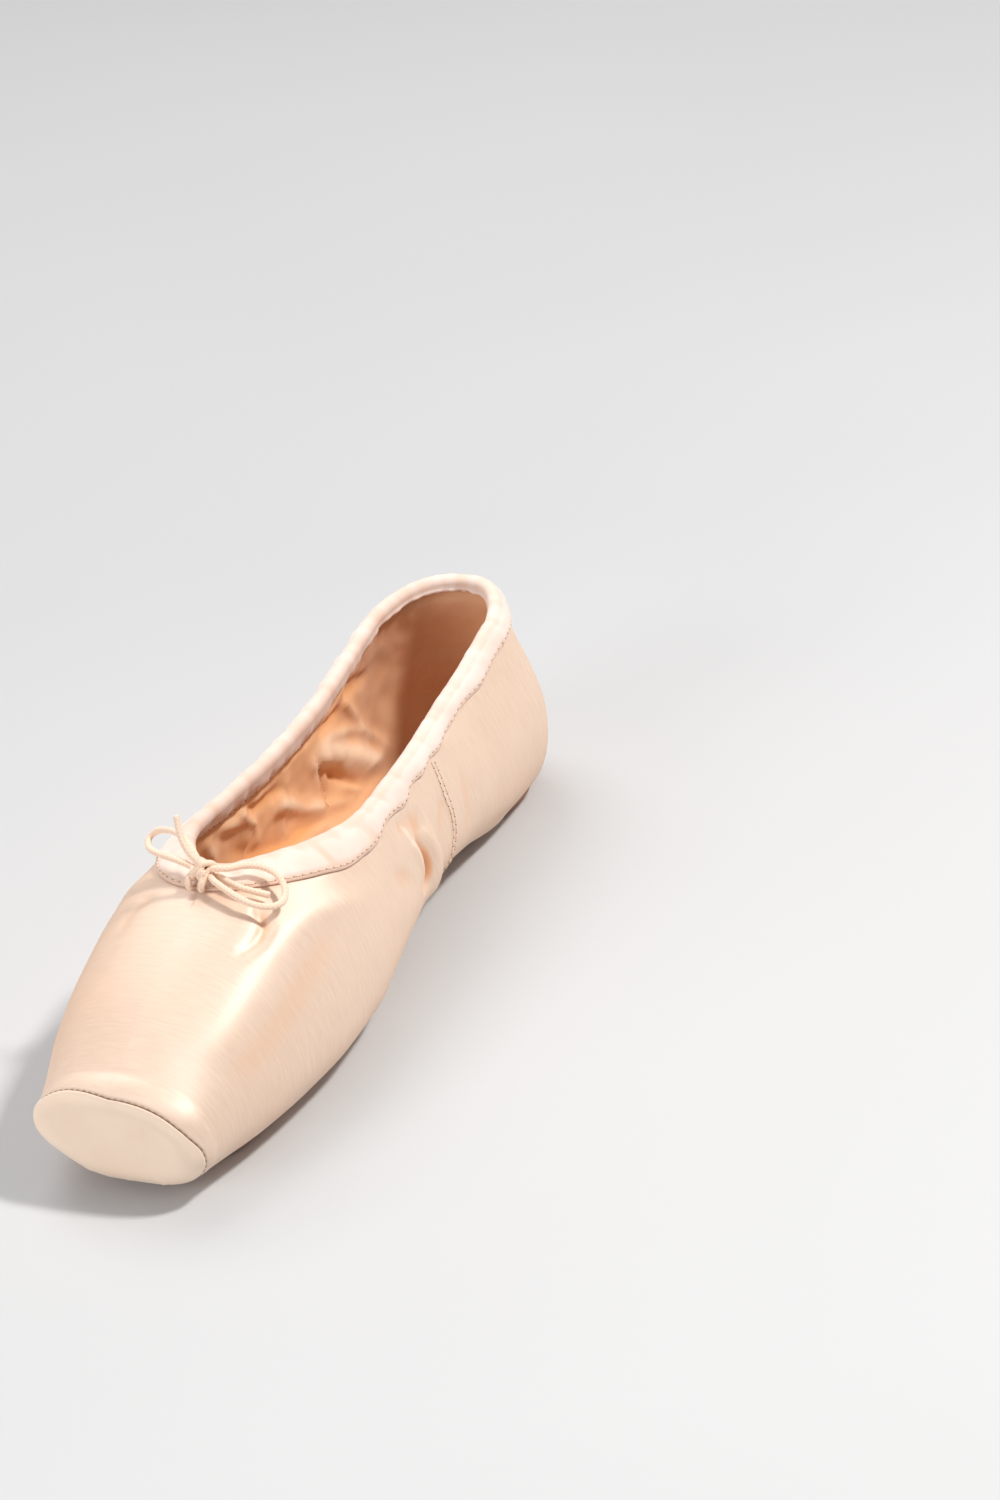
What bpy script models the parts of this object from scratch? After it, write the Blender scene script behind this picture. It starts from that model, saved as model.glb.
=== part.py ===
"""Build a split-sole pointe shoe: a satin upper, its collar casing, tip panel, back strap, soles and bow.

Metres, with +X to the toe, +Y to the shoe's left side and +Z up. The shoe stands on z = 0.
"""
import math

import bmesh
import bpy
import numpy as np

# Driving sizes
SHOE_LENGTH = 0.238
BALL_WIDTH = 0.074
INSTEP_HEIGHT = 0.056
ARCH_RISE = 0.0062
HEEL_REACH = 0.028  # from the heel's back to the upright axis that its sections turn about
VAMP_LENGTH = 0.071
THROAT_REACH = 0.050  # length over which the throat widens to the opening's full width
TIP_ROUND = 0.006
TIP_LEAN = math.radians(5)
LEAN_REACH = 0.035  # length of the toe that the platform's lean bends

# Walls, cloth and leather
GAP = 0.0003
LOOSE_GAP = 0.0005  # between two curved pieces whose facets cross
QUARTER_WALL = 0.0014
BOX_WALL = 0.0030
BOX_LENGTH = 0.056  # from the toe's tip to where the wall starts to stiffen
BOX_BLEND = 0.025
SOLE_THICKNESS = 0.0022
INSOLE_THICKNESS = 0.0016
CASING_TAPE = 0.0008
CASING_OUTSIDE = 0.0095
CASING_INSIDE = 0.0080
PANEL_CLOTH = 0.0006
PANEL_PROUD = 0.0002
STRAP_CLOTH = 0.0006
STRAP_WIDTH = 0.016

# Soles
FORE_SOLE_SETBACK = 0.014  # from the toe's tip
FORE_SOLE_LENGTH = 0.124
FORE_SOLE_SHARE = 0.66  # of the form's width
FORE_SOLE_LAP = 0.008  # leather that backs the upper's edge around its opening below
FRONT_ROUND_SHARE = 0.8  # length of the rounded front, of the sole's half width
PATCH_FRONT = 0.031
PATCH_BACK = 0.0205
INSOLE_SETBACK = 0.016
INSOLE_SHARE = 0.70
INSOLE_ROUND_SHARE = 0.25  # length of the rounded front, of the ball's width
SOLE_EDGE = 0.0004
CUTTER_SHARE = 0.25  # height of the sole opening's cutter, of the instep's height

# Drawstring
CORD_DIAMETER = 0.0020
KNOT_RADII = (0.0030, 0.0034, 0.0026)
KNOT_CENTRE = (0.0066, 0.0008, 0.0034)

# The bow's routes in millimetres from the throat's front on the form, each from the knot outwards
BOW_ROUTES = {
    "drawstring_loop_left": (
        (5.6, -3.3, 3.8), (4.7, -7.0, 4.2), (3.4, -11.2, 4.3), (1.8, -15.6, 4.1), (-0.8, -19.2, 3.9), (-3.6, -20.2, 5.1),
        (-4.4, -17.8, 6.9), (-3.2, -13.8, 8.2), (-1.2, -9.8, 8.8), (1.0, -6.6, 8.6), (2.8, -4.2, 7.7), (4.8, -1.7, 6.7),
    ),
    "drawstring_loop_right": (
        (7.2, 5.0, 4.5), (6.0, 7.8, 4.5), (3.4, 10.0, 4.0), (1.4, 13.0, 3.3), (0.6, 16.4, 2.2),
        (1.4, 19.8, 0.7), (3.8, 22.4, -1.4), (7.0, 23.2, -2.8), (10.2, 21.8, -2.7), (12.2, 18.8, -1.7),
        (12.6, 15.4, -0.6), (11.8, 11.6, 0.6), (10.6, 8.0, 1.7), (9.6, 5.2, 2.1),
    ),
    "drawstring_end_up": (
        (8.0, 0.2, 7.0), (7.8, -1.6, 9.1), (6.9, -3.5, 11.7), (5.6, -4.9, 14.5), (4.2, -5.7, 17.5),
    ),
    "drawstring_end_side": (
        (6.3, 5.1, 1.8), (7.3, 8.4, 1.1), (8.0, 12.0, 0.4), (7.7, 15.6, -0.5), (6.6, 19.0, -1.8),
    ),
}

# Sections across the foot. Lengths along it are shares of the shoe's length from the heel's back, widths are
# shares of the ball's width, the floor is a share of the arch's rise, belly and crown of the instep's height.
# The crown closes the form over the foot where the shoe is open. Flat is the share of the width that is flat
# below, and the last two columns are the curves' powers below and above the belly.
COLUMNS = ("along", "width", "floor", "belly", "crown", "flat", "low", "high")
SECTIONS = (
    (0.118, 0.775, 0.00, 0.393, 1.250, 0.58, 2.4, 2.0),
    (0.200, 0.767, 0.00, 0.375, 1.180, 0.54, 2.4, 2.0),
    (0.300, 0.745, 0.55, 0.375, 1.110, 0.42, 2.2, 2.0),
    (0.400, 0.755, 1.00, 0.384, 1.090, 0.38, 2.2, 2.0),
    (0.500, 0.838, 0.68, 0.366, 1.080, 0.42, 2.2, 2.0),
    (0.580, 0.918, 0.16, 0.339, 1.060, 0.50, 2.2, 2.1),
    (0.645, 0.972, 0.00, 0.321, 1.030, 0.56, 2.2, 2.2),
    (0.720, 0.985, 0.00, 0.313, 0.985, 0.58, 2.2, 2.3),
    (0.800, 0.938, 0.00, 0.304, 0.896, 0.56, 2.2, 2.3),
    (0.880, 0.846, 0.03, 0.295, 0.768, 0.50, 2.2, 2.3),
    (0.950, 0.716, 0.10, 0.268, 0.615, 0.38, 2.1, 2.2),
    (1.000, 0.630, 0.20, 0.250, 0.490, 0.25, 2.0, 2.1),
)
HEEL_SECTION = (0.000, 0.775, 0.00, 0.430, 1.465, 0.50, 2.3, 2.0)

# Half width of the opening, as a share of the form's
OPENING = ((0.118, 0.715), (0.250, 0.735), (0.400, 0.730), (0.500, 0.700), (0.600, 0.665), (0.680, 0.610))
HEEL_OPENING = 0.80

# Stations: 0 to 1 the platform, 1 to 2 its rounded edge, 2 to 3 the foot, 3 to 4 the turn of the heel
TIP_EDGE, ROUND_END, HEEL_START, HEEL_BACK = 1.0, 2.0, 3.0, 4.0
PANEL_EDGE = 1.45
STEP_FOOT, STEP_TOP, STEP_PAST = 1.50, 1.55, 1.78  # the step in the upper's wall behind the tip panel
PANEL_STATIONS = (0.0, 0.5, TIP_EDGE, 1.2, PANEL_EDGE)
VAMP_ROWS, THROAT_ROWS, SIDE_ROWS, HEEL_ROWS = 8, 13, 9, 10
SOLE_ROWS, CUTTER_ROWS, STRAP_ROWS, INSOLE_ROWS, ROUND_ROWS = 22, 18, 15, 22, 5

# Shares of the half section: 0 to 0.2 the flat below, to 0.5 the low curve, to 1 the high curve
FLAT_SHARE, BELLY_SHARE = 0.2, 0.5
LOW_SHARES = (0.0, 0.1, FLAT_SHARE, 0.27, 0.35, 0.43, BELLY_SHARE)
HIGH_STEPS = 6

# Small steps in which slopes on the form and along the rim are measured
FORM_STEP = 1e-4
RIM_STEP = 0.02

COLLECTION = "pointe_shoe"
CUTTERS = "cutters"
SOLE_STACK = SOLE_THICKNESS + GAP
ROUND_START = SHOE_LENGTH - TIP_ROUND
THROAT = SHOE_LENGTH - VAMP_LENGTH
BOX_BACK = SHOE_LENGTH - BOX_LENGTH
FORE_SOLE_FRONT = SHOE_LENGTH - FORE_SOLE_SETBACK
FORE_SOLE_BACK = FORE_SOLE_FRONT - FORE_SOLE_LENGTH
INSOLE_FRONT = SHOE_LENGTH - INSOLE_SETBACK
INSOLE_ROUND = INSOLE_ROUND_SHARE * BALL_WIDTH
PANEL_RECESS = GAP + PANEL_CLOTH - PANEL_PROUD

SATIN = ("satin", (0.87, 0.66, 0.52), 0.38)
PANEL_SATIN = ("panel_cloth", (0.86, 0.70, 0.56), 0.60)
TAPE = ("casing_tape", (0.88, 0.71, 0.60), 0.60)
SOLE_LEATHER = ("sole_leather", (0.58, 0.27, 0.15), 0.62)
INSOLE_CLOTH = ("insole_cloth", (0.74, 0.48, 0.33), 0.80)
CORD_COTTON = ("cord_cotton", (0.88, 0.64, 0.48), 0.70)


def clear_scene():
    for old in list(bpy.data.objects):
        bpy.data.objects.remove(old, do_unlink=True)


def follow(table, at):
    """Smooth curve through rows of (place, value) that never passes a row's value between two rows."""
    xs, ys = np.array(table, float).T
    at = np.clip(at, xs[0], xs[-1])
    steps = np.diff(xs)
    slopes = np.diff(ys) / steps
    before, after = slopes[:-1], slopes[1:]
    weight_before, weight_after = 2 * steps[1:] + steps[:-1], steps[1:] + 2 * steps[:-1]
    same_way = before * after > 0
    safe_before, safe_after = np.where(same_way, before, 1.0), np.where(same_way, after, 1.0)
    mean = (weight_before + weight_after) / (weight_before / safe_before + weight_after / safe_after)
    tangents = np.concatenate([slopes[:1], np.where(same_way, mean, 0.0), slopes[-1:]])
    row = np.clip(np.searchsorted(xs, at, side="right") - 1, 0, len(xs) - 2)
    t = (at - xs[row]) / steps[row]
    rise = tangents[row] * t * (1 - t) ** 2 + tangents[row + 1] * t * t * (t - 1)
    return ys[row] + (ys[row + 1] - ys[row]) * t * t * (3 - 2 * t) + rise * steps[row]


def blend(start, end, at):
    """0 before start, 1 past end, with a smooth step between."""
    t = np.clip((at - start) / (end - start), 0, 1)
    return t * t * (3 - 2 * t)


def section(name, x, turned):
    """A column's value at x, turned into the heel's own section."""
    column = COLUMNS.index(name)
    rows = [(row[0] * SHOE_LENGTH, row[column]) for row in SECTIONS]
    value = follow(rows, x)
    return value + (HEEL_SECTION[column] - value) * turned


def station_x(s):
    return ROUND_START + (HEEL_REACH - ROUND_START) * np.clip(s - ROUND_END, 0, 1)


def station_of(x):
    return ROUND_END + (ROUND_START - x) / (ROUND_START - HEEL_REACH)


def turn_of(s):
    return np.clip(s - HEEL_START, 0, 1) * math.pi / 2


def half_width(s):
    return section("width", station_x(s), np.sin(turn_of(s)) ** 2) * BALL_WIDTH / 2


def opening_share(s):
    """Half width of the opening at a station, as a share of the form's."""
    x = station_x(s)
    side = follow([(along * SHOE_LENGTH, share) for along, share in OPENING], x)
    side = side + (HEEL_OPENING - side) * np.sin(turn_of(s)) ** 2
    inside = np.clip((THROAT - x) / THROAT_REACH, 0, 1)
    return side * np.sqrt(1 - (1 - inside) ** 2)


def rim_share(s):
    """The half section's share at which the upper ends: 1 on the vamp, less at the collar."""
    high = section("high", station_x(s), np.sin(turn_of(s)) ** 2)
    return BELLY_SHARE + (1 - BELLY_SHARE) * np.arccos(opening_share(s) ** (high / 2)) / (math.pi / 2)


def form(s, q):
    """Points of the shoe's outer form at station s and share q of the half section."""
    s, q = np.broadcast_arrays(np.asarray(s, float), np.asarray(q, float))
    x, turn = station_x(s), turn_of(s)
    turned = np.sin(turn) ** 2
    width = half_width(s)
    floor = SOLE_STACK + section("floor", x, turned) * ARCH_RISE
    belly = section("belly", x, turned) * INSTEP_HEIGHT
    crown = section("crown", x, turned) * INSTEP_HEIGHT
    flat, low, high = (section(name, x, turned) for name in ("flat", "low", "high"))

    low_angle = np.clip((q - FLAT_SHARE) / (BELLY_SHARE - FLAT_SHARE), 0, 1) * math.pi / 2
    high_angle = np.clip((q - BELLY_SHARE) / (1 - BELLY_SHARE), 0, 1) * math.pi / 2
    y = width * np.where(
        q < FLAT_SHARE,
        flat * q / FLAT_SHARE,
        np.where(q < BELLY_SHARE, flat + (1 - flat) * np.sin(low_angle) ** (2 / low),
                 np.abs(np.cos(high_angle)) ** (2 / high)),
    )
    z = np.where(
        q < BELLY_SHARE,
        belly - (belly - floor) * np.abs(np.cos(low_angle)) ** (2 / low),
        belly + (crown - belly) * np.sin(high_angle) ** (2 / high),
    )

    edge = np.clip(s - TIP_EDGE, 0, 1) * math.pi / 2
    inset = TIP_ROUND * (1 - np.sin(edge))
    middle, half_height = (floor + crown) / 2, (crown - floor) / 2
    y = y * (1 - inset / width) * np.clip(s, 0, 1)
    z = middle + (z - middle) * (1 - inset / half_height) * np.clip(s, 0, 1)
    x = x + TIP_ROUND * np.cos(edge)

    reach = 1 / np.sqrt((np.cos(turn) / width) ** 2 + (np.sin(turn) / HEEL_REACH) ** 2)
    out = y * reach / width
    x = x - out * np.sin(turn)
    y = np.where(turn > 0, out * np.cos(turn), y)
    bent = np.clip((x - (SHOE_LENGTH - LEAN_REACH)) / LEAN_REACH, 0, 1) ** 2
    x = x - (z - floor - TIP_ROUND) * math.tan(TIP_LEAN) * bent
    return np.stack([x, y, z], axis=-1)


def slopes(s, q):
    """How the form's points move with s and with q."""
    s_low, s_high = np.maximum(s - FORM_STEP, 0), np.minimum(s + FORM_STEP, HEEL_BACK)
    q_low, q_high = np.maximum(q - FORM_STEP, 0), np.minimum(q + FORM_STEP, 1)
    along = (form(s_high, q) - form(s_low, q)) / (s_high - s_low)[..., None]
    around = (form(s, q_high) - form(s, q_low)) / (q_high - q_low)[..., None]
    return along, around


def normal(s, q):
    """The form's outward direction."""
    s, q = np.broadcast_arrays(np.asarray(s, float), np.asarray(q, float))
    along, around = slopes(s, q)
    out = np.cross(along, around)
    on_plane = (np.abs(form(s, q)[..., 1]) < 1e-7) & (s < HEEL_BACK)
    out[..., 1] = np.where(on_plane | (s >= HEEL_BACK), 0.0, out[..., 1])
    size = np.linalg.norm(out, axis=-1, keepdims=True)
    ahead = np.array([math.cos(TIP_LEAN), 0.0, math.sin(TIP_LEAN)])
    pole = np.where((s < TIP_EDGE)[..., None], ahead, np.array([0.0, 0.0, -1.0]))
    flat_tip = (s < TIP_EDGE)[..., None]
    return np.where(flat_tip | (size < 1e-9), pole, out / np.maximum(size, 1e-12))


def skin(s, q, out):
    """Points at a distance outside the form, or inside it where out is negative."""
    s, q = np.broadcast_arrays(np.asarray(s, float), np.asarray(q, float))
    return form(s, q) + normal(s, q) * np.broadcast_to(out, s.shape)[..., None]


def wall(s, q):
    """Thickness of the upper: cloth at the quarters, stiffened at the box."""
    x = form(s, q)[..., 0]
    return QUARTER_WALL + (BOX_WALL - QUARTER_WALL) * blend(BOX_BACK, BOX_BACK + BOX_BLEND, x)


def share_at(s, y):
    """The share below the belly at which the section at s is y wide to one side."""
    shares = np.linspace(0, BELLY_SHARE, 200)
    section_y = form(min(s, HEEL_START), shares)[:, 1]
    unturned = half_width(s) / half_width(min(s, HEEL_START))
    return np.interp(y, section_y * unturned, shares)


def collar_stations():
    """Stations from the throat's front to the heel's back, closer together where the rim bends."""
    throat = [THROAT - THROAT_REACH * (1 - math.cos(math.pi / 2 * k / THROAT_ROWS)) for k in range(THROAT_ROWS + 1)]
    side = np.linspace(THROAT - THROAT_REACH, HEEL_REACH, SIDE_ROWS + 1)[1:]
    foot = [station_of(x) for x in (*throat, *side)]
    heel = [HEEL_START + (k + 1) / HEEL_ROWS for k in range(HEEL_ROWS)]
    return foot + heel


def upper_stations():
    vamp = np.linspace(ROUND_START, THROAT, VAMP_ROWS + 1)[:-1]
    step = (STEP_FOOT, STEP_TOP, STEP_PAST)
    return [*PANEL_STATIONS, *step, *(station_of(x) for x in vamp), *collar_stations()]


def shares_to(end):
    """Shares from the sole's middle line up to an end."""
    steps = [BELLY_SHARE + (end - BELLY_SHARE) * (k + 1) / HIGH_STEPS for k in range(HIGH_STEPS)]
    return np.array([*LOW_SHARES, *steps])


def walk_from_rim(s, distance, steps=6):
    """Station and share of the point a distance away from the collar's rim, square to the rim and along the form."""
    q = float(rim_share(s))
    s_before, s_after = max(s - RIM_STEP, station_of(THROAT)), min(s + RIM_STEP, HEEL_BACK)
    tangent = form(s_after, rim_share(s_after)) - form(s_before, rim_share(s_before))
    if s >= HEEL_BACK or s_before == station_of(THROAT) == s:
        tangent = np.array([0.0, 1.0 if s < HEEL_BACK else -1.0, 0.0])
    way = np.cross(tangent, normal(s, q))
    for _ in range(steps):
        out = normal(s, q)
        way = way - out * (way @ out)
        way = way / np.linalg.norm(way)
        along, around = slopes(np.asarray(s, float), np.asarray(q, float))
        move, *_ = np.linalg.lstsq(np.stack([along, around], axis=1), way * distance / steps, rcond=None)
        s = min(max(s + float(move[0]), ROUND_END), HEEL_BACK)
        q = min(max(q + float(move[1]), 0.0), 1.0)
    return s, q, -way


def join_grid(rows, skip=None):
    """A mesh of four-sided faces through rows of points, without doubled points."""
    bm = bmesh.new()
    verts = [[bm.verts.new(point) for point in row] for row in rows]
    for i in range(len(rows) - 1):
        for j in range(len(rows[0]) - 1):
            if skip is None or not skip(i, j):
                bm.faces.new((verts[i][j], verts[i + 1][j], verts[i + 1][j + 1], verts[i][j + 1]))
    bmesh.ops.remove_doubles(bm, verts=bm.verts, dist=1e-6)
    bmesh.ops.dissolve_degenerate(bm, edges=bm.edges, dist=1e-7)
    return bm


def material(name, colour, roughness):
    made = bpy.data.materials.get(name) or bpy.data.materials.new(name)
    made.use_nodes = True
    shader = made.node_tree.nodes["Principled BSDF"]
    shader.inputs["Base Color"].default_value = (*colour, 1.0)
    shader.inputs["Roughness"].default_value = roughness
    shader.inputs["Metallic"].default_value = 0.0
    return made


def add_mesh(name, bm, finish, shoe):
    mesh = bpy.data.meshes.new(name)
    bm.to_mesh(mesh)
    bm.free()
    mesh.shade_smooth()
    mesh.materials.append(material(*finish))
    piece = bpy.data.objects.new(name, mesh)
    bpy.data.collections[COLLECTION].objects.link(piece)
    piece.parent = shoe
    return piece


def mirror(piece):
    halves = piece.modifiers.new("halves", "MIRROR")
    halves.use_axis = (False, True, False)
    halves.merge_threshold = 1e-5


def solidify(piece, thickness, side, even=True):
    cloth = piece.modifiers.new("thickness", "SOLIDIFY")
    cloth.thickness = thickness
    cloth.offset = side
    cloth.use_even_offset = even


def soften(piece, width):
    edge = piece.modifiers.new("edge", "BEVEL")
    edge.width = width
    edge.segments = 1
    edge.limit_method = "ANGLE"
    edge.angle_limit = math.radians(50)


def fore_sole_half(x, lap=0.0):
    """Half width of the forepart sole's outline, drawn in by a lap on all sides."""
    back, front = FORE_SOLE_BACK + lap, FORE_SOLE_FRONT - lap
    full = FORE_SOLE_SHARE * half_width(station_of(x)) - lap
    back_round, front_round = full, full * FRONT_ROUND_SHARE
    near_back = np.clip((x - back) / back_round, 0, 1)
    near_front = np.clip((front - x) / front_round, 0, 1)
    return full * np.sqrt(1 - (1 - near_back) ** 2) * np.sqrt(1 - (1 - near_front) ** 2)


def ease(count):
    """Shares from 0 to 1 that crowd at both ends."""
    return [(1 - math.cos(math.pi * k / count)) / 2 for k in range(count + 1)]


def over_form(s, q):
    return np.full_like(q, GAP)


def under_wall(s, q):
    return -wall(s, q) - LOOSE_GAP


def sole_rows(stations, halves, across, distance):
    """Rows of points over a strip of the form's underside, at a distance that is a function of the place."""
    rows = []
    for s, half in zip(stations, halves):
        shares = np.array([share_at(s, half * v) for v in across])
        rows.append(skin(s, shares, distance(s, shares)))
    return rows


def build_upper(shoe):
    stations = upper_stations()
    collar_start = len(stations) - len(collar_stations())
    rows = []
    for s in stations:
        shares = shares_to(float(rim_share(s)))
        recess = PANEL_RECESS if s <= STEP_FOOT else 0.0
        outer = skin(s, shares, -recess)
        inner = skin(s, shares, -wall(s, shares))
        rows.append([*outer, *inner[::-1]])
    rim = len(LOW_SHARES) + HIGH_STEPS - 1
    bm = join_grid(rows, skip=lambda i, j: j == rim and i < collar_start)
    upper = add_mesh("upper", bm, SATIN, shoe)
    mirror(upper)
    opening = upper.modifiers.new("sole_opening", "BOOLEAN")
    opening.operation = "DIFFERENCE"
    opening.solver = "EXACT"
    opening.object = build_sole_cutter(shoe)
    return upper


def build_sole_cutter(shoe):
    """The opening in the upper's underside that the forepart sole closes."""
    back, front = FORE_SOLE_BACK + FORE_SOLE_LAP, FORE_SOLE_FRONT - FORE_SOLE_LAP
    xs = [back + (front - back) * share for share in ease(CUTTER_ROWS)]
    left = [(x, float(fore_sole_half(x, FORE_SOLE_LAP))) for x in xs]
    outline = left + [(x, -y) for x, y in reversed(left[1:-1])]
    bm = bmesh.new()
    face = bm.faces.new([bm.verts.new((x, y, -SOLE_STACK)) for x, y in outline])
    if face.normal.z > 0:
        face.normal_flip()
    top = bmesh.ops.extrude_face_region(bm, geom=[face])
    lifted = [item for item in top["geom"] if isinstance(item, bmesh.types.BMVert)]
    bmesh.ops.translate(bm, verts=lifted, vec=(0, 0, INSTEP_HEIGHT * CUTTER_SHARE))
    bmesh.ops.recalc_face_normals(bm, faces=bm.faces)
    mesh = bpy.data.meshes.new("sole_opening_cutter")
    bm.to_mesh(mesh)
    bm.free()
    cutter = bpy.data.objects.new("sole_opening_cutter", mesh)
    bpy.data.collections[CUTTERS].objects.link(cutter)
    cutter.parent = shoe
    cutter.hide_render = True
    cutter.display_type = "WIRE"
    return cutter


def build_casing(shoe):
    """The tape folded over the collar, as a strip from outside over the rim to inside."""
    rows = []
    for s in collar_stations():
        q = float(rim_share(s))
        outside = [walk_from_rim(s, CASING_OUTSIDE * part)[:2] for part in (1, 2 / 3, 1 / 3)]
        inside = [walk_from_rim(s, CASING_INSIDE * part)[:2] for part in (1 / 2, 1)]
        up = walk_from_rim(s, 1e-5, 1)[2]
        out, thick = normal(s, q), float(wall(s, q))
        middle = form(s, q) - out * thick / 2
        radius = thick / 2 + LOOSE_GAP
        fold = [middle + radius * (out * math.cos(a) + up * math.sin(a)) for a in np.linspace(0, math.pi, 5)]
        legs_out = [skin(a, b, LOOSE_GAP) for a, b in outside]
        legs_in = [skin(a, b, -wall(a, b) - LOOSE_GAP) for a, b in inside]
        row = np.array([*legs_out, *fold, *legs_in])
        if s in (station_of(THROAT), HEEL_BACK):
            row[:, 1] = 0.0
        rows.append(row)
    casing = add_mesh("collar_casing", join_grid(rows), TAPE, shoe)
    mirror(casing)
    solidify(casing, CASING_TAPE, 1.0)


def build_tip_panel(shoe):
    rows = [skin(s, shares_to(1.0), GAP - PANEL_RECESS) for s in PANEL_STATIONS]
    panel = add_mesh("tip_cap", join_grid(rows), PANEL_SATIN, shoe)
    mirror(panel)
    solidify(panel, PANEL_CLOTH, 1.0)


def build_back_strap(shoe):
    """The satin tape up the heel, from the patch to the casing."""
    top = walk_from_rim(HEEL_BACK, CASING_OUTSIDE + 3 * GAP)[1]
    low_shares = np.linspace(FLAT_SHARE, BELLY_SHARE, 200)
    behind = HEEL_REACH - form(HEEL_BACK, low_shares)[:, 0]
    bottom = float(np.interp(PATCH_BACK + 4 * GAP, behind, low_shares))
    turns = np.linspace(HEEL_START, HEEL_BACK, 120)
    rows = []
    for q in np.linspace(bottom, top, STRAP_ROWS + 1):
        sideways = form(turns, q)[:, 1]
        stations = [float(np.interp(-STRAP_WIDTH / 2 * v, -sideways, turns)) for v in (1, 0.67, 0.33, 0)]
        row = skin(np.array(stations), q, GAP)
        row[-1, 1] = 0.0
        rows.append(row)
    columns = np.swapaxes(np.array(rows), 0, 1)
    strap = add_mesh("back_strap", join_grid(columns), SATIN, shoe)
    mirror(strap)
    solidify(strap, STRAP_CLOTH, 1.0)


def build_fore_sole(shoe):
    xs = [FORE_SOLE_FRONT - FORE_SOLE_LENGTH * share for share in ease(SOLE_ROWS)]
    halves = [float(fore_sole_half(x)) for x in xs]
    rows = sole_rows([station_of(x) for x in xs], halves, (0, 0.3, 0.6, 0.82, 1), over_form)
    sole = add_mesh("outsole_forepart", join_grid(rows), SOLE_LEATHER, shoe)
    mirror(sole)
    solidify(sole, SOLE_THICKNESS, 1.0)
    soften(sole, SOLE_EDGE)


def build_heel_patch(shoe):
    fronts = [PATCH_FRONT * math.cos(math.pi / 2 * k / 8) for k in range(9)]
    stations = [station_of(HEEL_REACH + front) for front in fronts]
    halves = [PATCH_BACK * math.sqrt(max(0.0, 1 - (front / PATCH_FRONT) ** 2)) for front in fronts]
    for k in range(1, HEEL_ROWS + 1):
        s = HEEL_START + k / HEEL_ROWS
        turn = math.pi / 2 * k / HEEL_ROWS
        width = float(half_width(s))
        reach = 1 / math.sqrt((math.cos(turn) / width) ** 2 + (math.sin(turn) / HEEL_REACH) ** 2)
        stations.append(s)
        halves.append(PATCH_BACK * width / reach)
    rows = sole_rows(stations, halves, (0, 0.35, 0.68, 0.86, 1), over_form)
    patch = add_mesh("heel_patch", join_grid(rows), SOLE_LEATHER, shoe)
    mirror(patch)
    solidify(patch, SOLE_THICKNESS, 1.0)
    soften(patch, SOLE_EDGE)


def build_insole(shoe):
    turns = [math.pi / 2 * k / ROUND_ROWS for k in range(ROUND_ROWS)]
    rounded = [INSOLE_FRONT - INSOLE_ROUND * (1 - math.cos(turn)) for turn in turns]
    straight = [x for x in np.linspace(INSOLE_FRONT, HEEL_REACH, INSOLE_ROWS + 1) if x < INSOLE_FRONT - INSOLE_ROUND]
    heel = [HEEL_START + (k + 1) / HEEL_ROWS for k in range(HEEL_ROWS)]
    stations = [station_of(x) for x in (*rounded, *straight)] + heel
    halves = []
    for s in stations:
        ahead = np.clip((INSOLE_FRONT - station_x(s)) / INSOLE_ROUND, 0, 1)
        halves.append(float(INSOLE_SHARE * half_width(s) * np.sqrt(1 - (1 - ahead) ** 2)))
    rows = sole_rows(stations, halves, (0, 0.4, 0.75, 1), under_wall)
    insole = add_mesh("insole", join_grid(rows), INSOLE_CLOTH, shoe)
    mirror(insole)
    solidify(insole, INSOLE_THICKNESS, -1.0, even=False)


def smooth_route(points, spacing):
    """Evenly spaced points on the smooth curve through a route's own points."""
    route = np.array([2 * np.array(points[0]) - points[1], *points, 2 * np.array(points[-1]) - points[-2]])
    fine = []
    for before, start, end, after in zip(route, route[1:], route[2:], route[3:]):
        for t in np.arange(16) / 16:
            bend = (2 * before - 5 * start + 4 * end - after) * t * t + (3 * start - before - 3 * end + after) * t**3
            fine.append(start + ((end - before) * t + bend) / 2)
    fine = np.array([*fine, route[-2]])
    travel = np.concatenate([[0], np.cumsum(np.linalg.norm(np.diff(fine, axis=0), axis=1))])
    count = max(2, round(travel[-1] / spacing)) + 1
    return [[np.interp(at, travel, fine[:, k]) for k in range(3)] for at in np.linspace(0, travel[-1], count)]


def build_bow(shoe):
    """The drawstring's knot, and its loops and ends as tubes."""
    throat = form(station_of(THROAT), 1.0)
    bm = bmesh.new()
    bmesh.ops.create_uvsphere(bm, u_segments=14, v_segments=9, radius=1.0)
    bmesh.ops.scale(bm, verts=bm.verts, vec=KNOT_RADII)
    knot = add_mesh("drawstring_knot", bm, CORD_COTTON, shoe)
    knot.location = throat + KNOT_CENTRE
    for name, route in BOW_ROUTES.items():
        curve = bpy.data.curves.new(name, "CURVE")
        curve.dimensions = "3D"
        curve.bevel_depth = CORD_DIAMETER / 2
        curve.bevel_resolution = 2
        curve.use_fill_caps = True
        points = smooth_route([throat + np.array(point) / 1000 for point in route], 2 * CORD_DIAMETER)
        spline = curve.splines.new("POLY")
        spline.points.add(len(points) - 1)
        for vertex, point in zip(spline.points, points):
            vertex.co = (*point, 1.0)
        curve.materials.append(material(*CORD_COTTON))
        cord = bpy.data.objects.new(name, curve)
        bpy.data.collections[COLLECTION].objects.link(cord)
        cord.parent = shoe


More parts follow.
